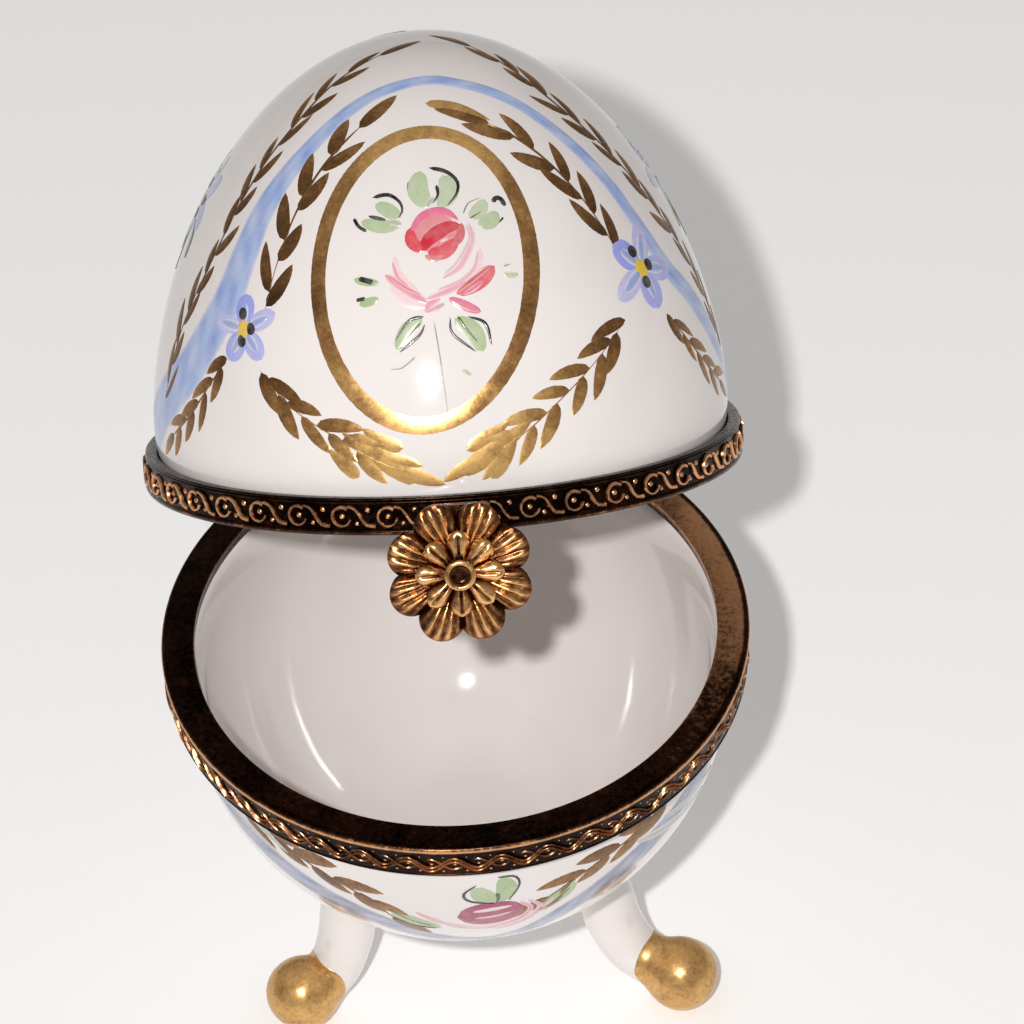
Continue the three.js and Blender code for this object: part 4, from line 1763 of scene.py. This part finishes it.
ROSE = [
    # body of the flower: bare glaze swept round with pink
    wash(((2.2, 1.0), (2.5, -0.3), (1.7, -2.2), (0.5, -3.1)), 0.3, Pigment.PINK, 0.55),
    wash(((2.0, 0.9), (2.3, -0.2), (1.5, -1.9), (0.6, -2.8)), 0.12, Pigment.PLUM, 0.4, 1),
    wash(((3.0, -0.7), (3.0, -2.0), (2.0, -3.4), (-0.4, -4.5)), 0.42, Pigment.BLUSH, 0.9),
    wash(((2.9, -1.0), (2.7, -2.2), (1.8, -3.2), (0.2, -3.9)), 0.2, Pigment.PINK, 0.6, 1),
    wash(((2.2, -3.2), (1.0, -3.9), (-0.6, -4.6)), 0.3, Pigment.PINK, 0.7, 1),
    wash(((-2.8, -1.5), (-2.3, -2.9), (-1.1, -4.0)), 0.3, Pigment.BLUSH, 1.0),
    wash(((-2.9, -1.9), (-2.5, -3.0), (-1.8, -3.6)), 0.16, Pigment.PINK, 0.8, 1),
    wash(((-3.4, -2.8), (-2.0, -3.8), (-0.5, -4.8)), 0.5, Pigment.PINK, 0.8),
    wash(((-3.0, -3.0), (-1.9, -3.75), (-1.0, -4.2)), 0.17, Pigment.CORAL, 0.8, 1),
    wash(((-3.0, -3.6), (-1.9, -4.6), (-0.6, -5.1)), 0.45, Pigment.BLUSH, 0.8),
    wash(((0.4, -4.3), (-0.3, -4.9), (-0.5, -5.5)), 0.42, Pigment.PINK, 0.8),
    wash(((0.7, -4.8), (-0.5, -5.5)), 0.24, Pigment.PLUM, 0.6, 1),
    Stroke(((4.05, -2.0), (3.1, -3.0), (1.5, -4.1)), 0.62, Pigment.CORAL, 0.9, layer=1),
    wash(((3.8, -2.0), (2.8, -2.85), (1.5, -4.0)), 0.22, Pigment.RED, 0.9, 2),
    wash(((3.3, -3.1), (2.6, -3.7), (2.0, -4.1)), 0.2, Pigment.PINK, 1.0, 2),
    Stroke(((1.0, -4.4), (2.0, -4.85), (3.2, -5.25)), 0.36, Pigment.PINK, 0.95, layer=1),
    wash(((1.2, -4.6), (2.2, -5.0), (3.2, -5.25)), 0.14, Pigment.RED, 0.8, 2),
    # heart of the flower
    Stroke(((-1.5, 0.3), (0.1, 0.15), (1.5, 0.2)), 1.45, Pigment.CORAL, 0.72, layer=1),
    Stroke(((-1.75, 0.1), (-0.9, 1.35), (0.5, 1.75), (1.6, 1.0)), 0.3, Pigment.PINK, 1.0, layer=2),
    Stroke(((-1.7, 0.5), (-1.55, -0.5), (-0.7, -1.2)), 0.48, Pigment.CORAL, 1.0, layer=2),
    Stroke(((-0.5, -1.3), (0.5, -1.2), (1.5, -0.3)), 0.55, Pigment.CORAL, 1.0, layer=2),
    Stroke(((-0.9, -1.2), (-0.4, -0.3), (0.7, 0.5), (1.7, 0.75)), 0.5, Pigment.RED, 1.0, layer=3),
    Stroke(((1.75, 0.9), (1.65, -0.1), (1.1, -0.8)), 0.3, Pigment.RED, 0.85, layer=3),
    Stroke(((-0.7, -1.5), (-0.1, -1.7), (0.6, -1.45)), 0.22, Pigment.CORAL, 0.8, layer=3),
    Stroke(((0.3, -0.5), (0.85, -0.25)), 0.09, Pigment.BLUSH, 1.0, layer=4),
    # leaf above
    Stroke(((-0.5, 2.0), (-1.25, 3.2), (-1.1, 4.7)), 0.78, Pigment.LEAF, 0.8),
    Stroke(((0.1, 2.1), (0.85, 3.2), (0.4, 4.4)), 0.75, Pigment.LEAF, 0.72),
    wash(((-0.6, 2.0), (-0.4, 2.4), (0.1, 2.6)), 0.3, Pigment.LEAF_DEEP, 0.6, 1),
    line(((-0.55, 4.95), (0.6, 4.7), (1.4, 4.0), (1.4, 3.1), (0.75, 2.1)), 0.19),
    line(((0.0, 3.65), (0.1, 2.9), (-0.25, 2.25)), 0.14),
    line(((-1.95, 3.85), (-2.0, 3.2)), 0.05, Pigment.BLACK, 0.8),
    # leaf on the left
    Stroke(((-2.4, 1.2), (-3.4, 1.9), (-4.15, 2.3)), 0.55, Pigment.LEAF, 0.85),
    Stroke(((-2.35, 0.75), (-3.75, 0.65), (-5.1, 1.1)), 0.52, Pigment.LEAF, 0.85),
    wash(((-2.35, 0.7), (-2.8, 0.9), (-3.2, 0.9)), 0.3, Pigment.LEAF_DEEP, 0.6, 1),
    line(((-4.35, 2.8), (-3.3, 2.95), (-2.5, 2.4), (-2.3, 1.7), (-2.6, 1.2)), 0.18),
    Stroke(((-5.6, 1.35), (-5.25, 0.75), (-4.7, 0.35)), 0.12, Pigment.BLACK, 1, Taper.EVEN, 2),
    Stroke(((-4.6, 1.45), (-4.1, 1.3), (-3.4, 1.1)), 0.14, Pigment.BLACK, 1, layer=2),
    # leaf on the right
    Stroke(((2.3, 1.3), (3.0, 2.0), (3.3, 2.75)), 0.55, Pigment.LEAF, 0.7),
    Stroke(((2.9, 0.9), (3.7, 1.2), (4.2, 1.9)), 0.6, Pigment.LEAF, 0.8),
    Stroke(((3.85, 2.6), (4.1, 2.95), (4.45, 2.85), (4.7, 2.4)), 0.17, Pigment.BLACK, 1, Taper.EVEN, 2),
    line(((1.85, 1.6), (2.2, 2.4), (3.0, 2.85)), 0.05, Pigment.BLACK, 0.8),
    line(((4.6, 1.55), (4.3, 1.1)), 0.08),
    line(((2.35, 1.3), (3.1, 1.85)), 0.07, Pigment.OLIVE),
    # small touches of green at the sides
    Stroke(((-5.5, -3.0), (-4.7, -3.2), (-3.8, -3.35)), 0.32, Pigment.LEAF, 0.95),
    Stroke(((-5.15, -2.95), (-4.2, -3.3)), 0.18, Pigment.BLACK, 1, Taper.EVEN, 2),
    Stroke(((-5.1, -4.75), (-4.4, -4.6), (-3.8, -4.4)), 0.33, Pigment.LEAF, 0.95),
    Stroke(((-5.3, -4.45), (-4.7, -4.35)), 0.13, Pigment.BLACK, 1, Taper.EVEN, 2),
    wash(((4.7, -2.5), (5.2, -2.55), (5.7, -2.4)), 0.3, Pigment.LEAF, 0.7),
    line(((4.7, -1.95), (5.15, -1.75)), 0.05, Pigment.OLIVE),
    # pair of leaves and stems below
    Stroke(((-0.8, -5.7), (-1.8, -6.6), (-2.5, -7.9)), 0.55, Pigment.LEAF, 0.85),
    line(((-0.7, -5.7), (-1.7, -6.0), (-2.6, -7.3)), 0.13),
    Stroke(((-0.6, -6.2), (-1.0, -7.0), (-2.3, -8.1)), 0.1, Pigment.BLACK, 0.9, layer=2),
    line(((-0.9, -6.1), (-2.0, -7.4)), 0.08, Pigment.OLIVE),
    Stroke(((1.4, -5.8), (2.6, -6.5), (3.4, -7.9)), 0.68, Pigment.LEAF, 0.85),
    Stroke(((2.3, -5.6), (3.5, -6.0), (3.95, -7.4)), 0.11, Pigment.BLACK, 1, layer=2),
    Stroke(((1.1, -5.7), (1.3, -6.8), (2.9, -7.95)), 0.1, Pigment.BLACK, 0.9, layer=2),
    line(((1.6, -5.6), (2.1, -6.3), (3.0, -7.3)), 0.12, Pigment.OLIVE),
    line(((-1.2, -8.4), (-2.1, -9.1), (-2.9, -9.2)), 0.05, Pigment.OLIVE, 0.9),
    line(((0.0, -6.0), (0.5, -8.6), (1.1, -12.2)), 0.05, Pigment.SMOKE, 0.8, 1),
    wash(((2.0, -9.2), (2.6, -9.5)), 0.2, Pigment.LEAF, 0.8),
]

BOWL_ROSE = [
    wash(((-5.4, 0.2), (-3.6, -1.4), (-1.2, -2.7)), 0.5, Pigment.PINK, 0.7),
    wash(((-4.2, -0.5), (-2.4, -2.3), (0.4, -3.1)), 0.35, Pigment.PLUM, 0.45, 1),
    wash(((-2.2, -1.9), (0.2, -2.4), (2.6, -1.3)), 0.5, Pigment.BLUSH, 1.0),
    wash(((2.1, 1.2), (2.9, -0.2), (1.9, -1.9), (-0.3, -2.9)), 0.3, Pigment.PINK, 0.8, 1),
    wash(((2.7, 1.2), (3.6, -0.4), (2.5, -2.4), (0.4, -3.5)), 0.3, Pigment.PINK, 0.7, 1),
    wash(((4.6, 0.3), (3.6, -1.2), (2.3, -2.2)), 0.3, Pigment.PLUM, 0.5, 1),
    Stroke(((-2.4, -0.4), (0.0, -0.1), (2.4, 0.3)), 1.9, Pigment.MAGENTA, 1.0, layer=2),
    wash(((-1.3, 0.55), (0.2, 0.75), (1.5, 0.9)), 0.3, Pigment.PINK, 0.3, 3),
    wash(((-1.2, -0.6), (0.3, -0.5), (1.5, -0.1)), 0.2, Pigment.RED, 0.5, 3),
    Stroke(((0.35, 1.7), (-0.5, 2.8), (-1.1, 4.0)), 0.85, Pigment.LEAF, 0.9),
    Stroke(((0.55, 1.8), (1.2, 3.2), (0.9, 4.9)), 0.85, Pigment.LEAF, 0.95),
    Stroke(((0.3, 1.6), (-1.5, 2.2), (-1.9, 3.2), (-1.0, 4.3)), 0.12, Pigment.BLACK, 1, layer=2),
    line(((0.6, 5.0), (1.8, 4.8), (2.1, 3.6), (1.3, 1.8)), 0.13),
    line(((0.5, 3.0), (0.55, 2.3), (0.4, 1.6)), 0.2, Pigment.BLACK, 0.9),
    Stroke(((-3.6, -2.7), (-5.4, -1.9), (-7.0, -0.6)), 1.0, Pigment.LEAF, 0.95),
    Stroke(((-3.9, -2.7), (-5.5, -2.6), (-6.9, -1.8)), 0.14, Pigment.BLACK, 0.9, layer=2),
    line(((-4.2, -2.2), (-5.6, -1.6), (-7.2, -0.2)), 0.12, Pigment.BLACK, 0.8),
    Stroke(((3.4, -0.9), (4.8, 0.1), (6.2, 1.5)), 0.95, Pigment.LEAF, 0.95),
    line(((3.4, -1.0), (4.6, -0.4), (5.8, 1.0)), 0.13, Pigment.BLACK, 0.9),
    line(((3.6, 0.2), (4.8, 1.1), (6.2, 1.9)), 0.08, Pigment.OLIVE, 0.9),
]

POSY = [
    Stroke(((-0.6, -1.2), (-1.9, -2.6), (-2.5, -4.2)), 0.62, Pigment.LEAF, 0.9),
    line(((-0.5, -1.3), (-1.3, -2.8), (-2.4, -4.2)), 0.1, Pigment.OLIVE),
    Stroke(((0.7, -1.2), (1.9, -2.4), (2.4, -4.0)), 0.6, Pigment.LEAF, 0.9),
    line(((1.2, -1.3), (2.5, -2.4), (2.7, -3.9)), 0.1, Pigment.BLACK, 0.9),
    Stroke(((-0.2, 1.4), (-0.9, 2.7), (-0.5, 4.0)), 0.6, Pigment.LEAF, 0.8),
    Stroke(((0.3, 1.4), (0.9, 2.5), (0.9, 3.7)), 0.5, Pigment.LEAF, 0.8),
    line(((0.1, -1.2), (0.2, -3.4), (-0.2, -5.4)), 0.07, Pigment.OLIVE, 0.9, 1),
]


@dataclass
class LidPainting:
    """Painted scheme of the lid: medallion with a rose, arches of ribbon and gold leaves, small flowers.

    Attributes:
        lid: the lid that it is on.
        medallion: azimuth and height of the medallion's middle.
        lean: how far the medallion leans clockwise, in degrees.
        oval: half width and half height of its ring.
        ring_width: half width of the ring's gold line.
    """

    lid: Lid
    medallion: tuple[float, float] = (-1.3, 17.4)
    lean: float = 5.0
    oval: tuple[float, float] = (7.3, 10.35)
    ring_width: float = 0.62

    def __post_init__(self) -> None:
        """Takes up the brush."""
        self.painter = Painter(self.lid.outside)

    def ring(self, piece: Piece, turn: float) -> None:
        """Lays the medallion's gold ring, turned round the egg by so many degrees."""
        angle = np.linspace(0, 2 * math.pi, 120, endpoint=False)
        oval = np.stack([self.oval[0] * np.cos(angle), self.oval[1] * np.sin(angle)], axis=1)
        middle = (self.medallion[0] + turn, self.medallion[1])
        route = self.painter.skin.drape(middle, oval, self.lean)
        width = self.ring_width * (1 + 0.05 * np.sin(3 * angle + 1))
        rings = ridge(self.painter.skin, route, width, PAINT_HEIGHT, BRUSH, closed=True)
        # painted highlight: the ring's gold is brightest at its top and bottom and darker at its sides
        tone = 0.72 - 0.2 * np.cos(2 * angle) + 0.05 * np.sin(7 * angle)
        piece.loft(rings, tone[:, None], closed=True)

    def gold(self, lustre: Lustre, turn: float, name: str) -> None:
        """Lays the ring and all gold leaves of one face.

        Args:
            lustre: the gold.
            turn: 0 for the front and 180 for the back.
            name: piece name.
        """
        piece = Piece(name)
        paint = self.painter
        self.ring(piece, turn)
        outer_left = [(-71, 7.5), (-67, 12.5), (-61, 17.2), (-58, 20.7), (-55, 24), (-51, 26.8), (-47, 29),
                      (-30, 30.6)]
        outer_right = [(84, 8.0), (79, 13.5), (72, 18.4), (67, 21.8), (62, 24.6), (57, 27), (54, 29.2),
                       (50, 30.7)]
        paint.garland(piece, outer_left, 10, 3.1, 0.42, (0.25, 0.35), turn, 25)
        paint.garland(piece, outer_right, 10, 3.1, 0.42, (0.25, 0.38), turn, 25)
        inner_left = [(-38.5, 14.9), (-37.5, 18), (-35.5, 21.3), (-31.5, 24), (-22, 26.6)]
        inner_right = [(47.5, 17), (44, 20.3), (38.5, 23.2), (31, 25.2), (23, 26.3)]
        paint.garland(piece, inner_left, 4, 3.4, 0.6, (0.25, 0.4), turn, 30)
        paint.garland(piece, inner_right, 4, 3.7, 0.56, (0.25, 0.5), turn, 32)
        low_left = [(-47.5, 11.4), (-52, 9.5), (-58, 7.2), (-66, 5.2)]
        mid_left = [(-38, 10.9), (-30, 8.6), (-21, 6.8), (-13, 5.2), (-8, 4.4)]
        mid_right = [(43.5, 12.6), (34, 10.4), (25, 8.3), (16, 6.2), (8, 4.9)]
        low_right = [(57, 12.2), (62.5, 10), (69, 7.8), (76, 6)]
        paint.garland(piece, low_left, 4, 2.7, 0.45, (0.35, 0.5), turn, 32)
        # painted highlight: these two garlands brighten to full gold towards the low middle of the face
        paint.garland(piece, mid_left, 5, 3.2, 0.55, (0.35, 1.0), turn, 30, 0.07)
        paint.garland(piece, mid_right, 6, 3.1, 0.52, (0.35, 1.0), turn, 36, 0.07)
        paint.garland(piece, low_right, 4, 2.7, 0.4, (0.35, 0.5), turn, 28)
        # painted highlight: the low lobes near the middle of the face and the one near the top are painted
        # bright gold
        for places, width in (
            ([(-19, 7.0), (-12, 5.4), (-4.5, 3.5)], 0.8), ([(-15, 7.3), (-11, 6.4), (-7, 5.9)], 0.55),
            ([(-22, 5.9), (-19, 4.9), (-16, 3.9)], 0.55), ([(18.5, 7.2), (11.5, 5.6), (3.5, 3.9)], 0.75),
            ([(15, 6.2), (12, 4.6), (9.5, 3.4)], 0.6), ([(14, 7.2), (9, 6.3), (5, 5.5)], 0.5),
            ([(25, 26.4), (14, 27.4), (2, 27.8)], 0.5),
        ):
            lobe = paint.trail(places, 16, turn)
            paint.sweep(piece, lobe, width, Taper.LOBE, Pigment.BRONZE, tone=np.linspace(0.8, 1.0, 16))
        piece.make(self.lid.half, lustre, crease=PAINT_CREASE)

    def ribbons(self, enamel: Enamel, turn: float, name: str) -> None:
        """Lays the blue arch of one face.

        Args:
            enamel: the colours.
            turn: 0 for the front and 180 for the back.
            name: piece name.
        """
        piece = Piece(name)
        arch = [(-88, 2.9), (-73, 6.8), (-60, 10.4), (-51.5, 14.6), (-49, 17.6), (-46.5, 21.5), (-38, 25.5),
                (-23, 28.2), (3, 29.1), (18, 28.8), (36, 27.6), (47, 25.3), (55, 21.7), (59, 18.2),
                (63.5, 15), (69, 13), (78, 9.1), (90, 3.2)]
        widths = [2.0, 2.1, 2.0, 1.8, 1.35, 0.85, 0.62, 0.55, 0.58, 0.68, 0.85, 1.05, 1.15, 1.15]
        self.painter.ribbon(piece, arch, widths, turn)
        piece.make(self.lid.half, enamel, crease=PAINT_CREASE)

    def flowers(self, enamel: Enamel) -> None:
        """Lays the small flowers of both faces and the posies between them."""
        piece = Piece("blue_flowers_lid")
        for turn in (0, 180):
            self.painter.motif(piece, (-43.5 + turn, 13.5), blossom(1.4, 28))
            self.painter.motif(piece, (53.5 + turn, 15.6), blossom(1.7, 62))
        for side in (-87, 93):
            for strokes in (POSY, blossom(1.7, 40)):
                self.painter.motif(piece, (side, 20.5), strokes)
        piece.make(self.lid.half, enamel, crease=PAINT_CREASE)

    def rose(self, enamel: Enamel) -> None:
        """Lays the rose in the front medallion and a plainer flower in the back one."""
        piece = Piece("medallion_rose")
        self.painter.motif(piece, (1.9, 19.75), ROSE, self.lean)
        piece.make(self.lid.half, enamel, crease=PAINT_CREASE)
        back = Piece("medallion_flower_back")
        middle = (self.medallion[0] + 180, self.medallion[1] + 0.5)
        self.painter.motif(back, middle, POSY, 0, 1.25)
        self.painter.motif(back, middle, blossom(1.5, 10))
        back.make(self.lid.half, enamel, crease=PAINT_CREASE)

    def build(self, enamel: Enamel, lustre: Lustre) -> None:
        """Paints the lid.

        Args:
            enamel: the colours.
            lustre: the gold.
        """
        for turn, face in ((0, "front"), (180, "back")):
            self.ribbons(enamel, turn, f"ribbon_lid_{face}")
            self.gold(lustre, turn, f"gold_leaves_lid_{face}")
        self.flowers(enamel)
        self.rose(enamel)


@dataclass
class BowlPainting:
    """Painted scheme of the bowl: a rose over a swag of ribbon, with gold leaves.

    Attributes:
        bowl: the bowl that it is on.
    """

    bowl: Bowl

    def build(self, enamel: Enamel, lustre: Lustre) -> None:
        """Paints the bowl.

        Args:
            enamel: the colours.
            lustre: the gold.
        """
        painter = Painter(self.bowl.outside)
        swag = [(-78, -2.9), (-62, -5.6), (-50, -7.8), (-40, -9.5), (-30, -10.9), (-20, -12.6), (-8, -15.2),
                (4.5, -16.2), (14, -15), (22, -12.6), (30, -10.8), (38, -9.2), (48, -7.6), (60, -5.8),
                (80, -2.9)]
        widths = [1.3, 1.6, 1.8, 1.6, 1.4, 1.6, 1.8, 1.6, 1.3]
        left = [(-52, -4.2), (-42, -5.2), (-32, -6.6), (-23, -8.3), (-17, -11)]
        right = [(50, -4.4), (40, -5.2), (31, -6.2), (23, -7.4), (16.5, -9)]
        ribbons, gold, flowers = Piece("ribbon_bowl"), Piece("gold_leaves_bowl"), Piece("roses_bowl")
        for turn in (0, 180):
            painter.ribbon(ribbons, swag, widths, turn, Pigment.STEEL, Pigment.SLATE)
            for places in (left, right):
                painter.garland(gold, places, 4, 3.6, 0.75, (0.3, 0.45), turn, 30)
            painter.motif(flowers, (4.3 + turn, -9.7), BOWL_ROSE)
            for places, width, pigment in (
                ([(38, -6.8), (47, -8.0), (57, -8.9), (64, -9.3)], 0.6, Pigment.SMOKE),
                ([(46, -6.4), (56, -7.4), (66, -7.6)], 0.45, Pigment.LEAF_DEEP),
                ([(-60, -3.6), (-52, -4.1), (-46, -5.0), (-40, -6.2)], 0.5, Pigment.LEAF_DEEP),
                ([(-58, -5.4), (-50, -6.2), (-43, -7.2)], 0.45, Pigment.SMOKE),
            ):
                route = painter.trail(places, 24, turn)
                painter.sweep(flowers, route, width, Taper.PETAL, pigment, 0.6, 1, True)
        for side in (-90, 90):
            painter.motif(flowers, (side, -10.5), POSY, 180)
            painter.motif(flowers, (side, -10.5), blossom(1.0, 0))
        ribbons.make(self.bowl.half, enamel, crease=PAINT_CREASE)
        gold.make(self.bowl.half, lustre, crease=PAINT_CREASE)
        flowers.make(self.bowl.half, enamel, crease=PAINT_CREASE)


# Studio --------------------------------------------------------------------------------------------------


@dataclass
class Studio:
    """Floor, light and camera.

    Attributes:
        base: half whose frame gives the egg's axis.
        camera_place: where the camera stands, in the base's own frame.
        camera_elevation: how far it looks down, in degrees.
        camera_roll: how far it is turned about its line of sight, in degrees.
        lens: its focal length for a sensor 36 mm wide.
        room_strength: strength of the light from the room.
        flash_place: where the flash hangs, in metres in the row frame.
        flash_target: point that it faces.
        flash_size: width and height of its window, in metres.
        flash_power: its watts.
        flash_colour: its light.
    """

    base: Half
    camera_place: tuple[float, float, float] = (4.628, -294.602, 313.331)
    camera_elevation: float = 45.677
    camera_roll: float = -3.394
    lens: float = 207.98
    room_strength: float = 0.36
    flash_place: tuple[float, float, float] = (-0.028, -0.286, 0.356)
    flash_target: tuple[float, float, float] = (0.0, 0.0, 0.035)
    flash_size: tuple[float, float] = (0.01, 0.01)
    flash_power: float = 1.44
    flash_colour: Colour = (1.0, 0.99, 0.98)

    @staticmethod
    def stand(thing: bpy.types.Object, right: Array, up: Array, back: Array, place: Array) -> None:
        """Puts a camera or lamp in the scene.

        Args:
            thing: the camera or lamp, which looks away from back.
            right: its own right.
            up: its own up.
            back: direction behind it.
            place: where it stands, in metres in the row frame.
        """
        rows = np.eye(4)
        rows[:3] = np.stack([right, up, back, place], axis=1)
        thing.matrix_world = Matrix(rows.tolist())
        bpy.context.scene.collection.objects.link(thing)

    def camera(self) -> None:
        """Sets the camera up and gives it to the scene."""
        data = bpy.data.cameras.new("camera")
        data.lens, data.sensor_width = self.lens, 36.0
        data.clip_start, data.clip_end = 0.01, 20.0
        camera = bpy.data.objects.new("camera", data)
        tilt, roll = math.radians(90 - self.camera_elevation), math.radians(self.camera_roll)
        cos_t, sin_t, cos_r, sin_r = math.cos(tilt), math.sin(tilt), math.cos(roll), math.sin(roll)
        level, rise, back = np.array([1, 0, 0]), np.array([0, cos_t, sin_t]), np.array([0, -sin_t, cos_t])
        right = cos_r * level + sin_r * rise
        up = -sin_r * level + cos_r * rise
        self.stand(camera, right, up, back, self.base.place(np.array(self.camera_place)))
        bpy.context.scene.camera = camera

    def flash(self) -> None:
        """Hangs the small lamp that casts the shadow and the glints."""
        data = bpy.data.lights.new("flash", "AREA")
        data.shape = "RECTANGLE"
        data.size, data.size_y = self.flash_size
        data.energy, data.color = self.flash_power, self.flash_colour
        place = np.array(self.flash_place)
        back = unit(place - np.array(self.flash_target))
        right = unit(np.cross(np.array([0.0, 0.0, 1.0]), back))
        self.stand(bpy.data.objects.new("flash", data), right, np.cross(back, right), back, place)

    def surroundings(self) -> None:
        """Gives the room a soft light that darkens towards the horizon."""
        world = bpy.data.worlds.new("room")
        bpy.context.scene.world = world
        world.use_nodes = True
        tree = world.node_tree
        place = tree.nodes.new("ShaderNodeTexCoord")
        split = tree.nodes.new("ShaderNodeSeparateXYZ")
        ramp = tree.nodes.new("ShaderNodeValToRGB")
        stops = ((0.0, (0.6, 0.59, 0.58, 1)), (0.9, (0.9, 0.88, 0.86, 1)))
        for element, (height, colour) in zip(ramp.color_ramp.elements, stops):
            element.position, element.color = height, colour
        tree.links.new(place.outputs["Generated"], split.inputs["Vector"])
        tree.links.new(split.outputs["Z"], ramp.inputs["Fac"])
        tree.links.new(ramp.outputs["Color"], tree.nodes["Background"].inputs["Color"])
        tree.nodes["Background"].inputs["Strength"].default_value = self.room_strength

    def floor(self) -> None:
        """Lays a plain pale floor under the toes."""
        mesh = bpy.data.meshes.new("floor")
        size = 3.0
        corners = [(-size, -size, 0), (size, -size, 0), (size, size, 0), (-size, size, 0)]
        mesh.from_pydata(corners, [], [(0, 1, 2, 3)])
        recipe = Recipe("pale_floor")
        stops = [(0.3, (0.82, 0.815, 0.81)), (0.7, (0.84, 0.835, 0.83))]
        recipe.feed("Base Color", recipe.ramp(recipe.noise(3), stops))
        recipe.set(Roughness=0.7, Emission_Color=(1.0, 0.99, 0.98, 1.0), Emission_Strength=0.2)
        mesh.materials.append(recipe.made)
        floor = bpy.data.objects.new("floor", mesh)
        bpy.context.scene.collection.objects.link(floor)

    def build(self) -> None:
        """Sets up the whole studio."""
        self.camera()
        self.surroundings()
        self.floor()
        self.flash()
        view = bpy.context.scene.view_settings
        view.view_transform = "Standard"
        view.look = "None"
        view.exposure = 0.0


def main() -> None:
    """Builds the whole box in order."""
    logging.basicConfig(level=logging.INFO, format="%(name)s %(message)s")
    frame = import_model()
    joint = frame["joints"][0]
    hinge = (joint["pos_m"][1] / MM, joint["pos_m"][2] / MM)
    base = Half("base", hinge, 0.0, 0.0)
    swing = Half("lid", hinge, math.radians(-joint["range_deg"][0]), PARTING_GAP)
    glaze, enamel, lustre, brass = Glaze(), Enamel(), Lustre(), Brass()
    gilt = Brass(slot=Slot.CLASP, dark=linear(42, 22, 14), middle=linear(132, 84, 52),
                 bright=linear(236, 182, 122), rough=(0.14, 0.4))

    Studio(base).build()
    bowl, lid = Bowl(base), Lid(swing)
    bowl.build(glaze, lustre)
    lid.build(glaze)
    WaveBand(base, -1, "base_mount", "brass_band_base").build(brass)
    ScrollBand(swing, 1, "lid_mount", "brass_band_lid").build(brass)
    HingeLeaf(base, -1, ((-4.6, -1.6), (1.6, 4.6)), "hinge_leaf_base", "brass_leaf_base").build(brass)
    HingeLeaf(swing, 1, ((-1.45, 1.45),), "hinge_leaf_lid", "brass_leaf_lid").build(brass)
    HingePin(base).build(brass)
    Clasp(swing).build(gilt)
    LidPainting(lid).build(enamel, lustre)
    BowlPainting(bowl).build(enamel, lustre)


if __name__ == "__main__":
    main()
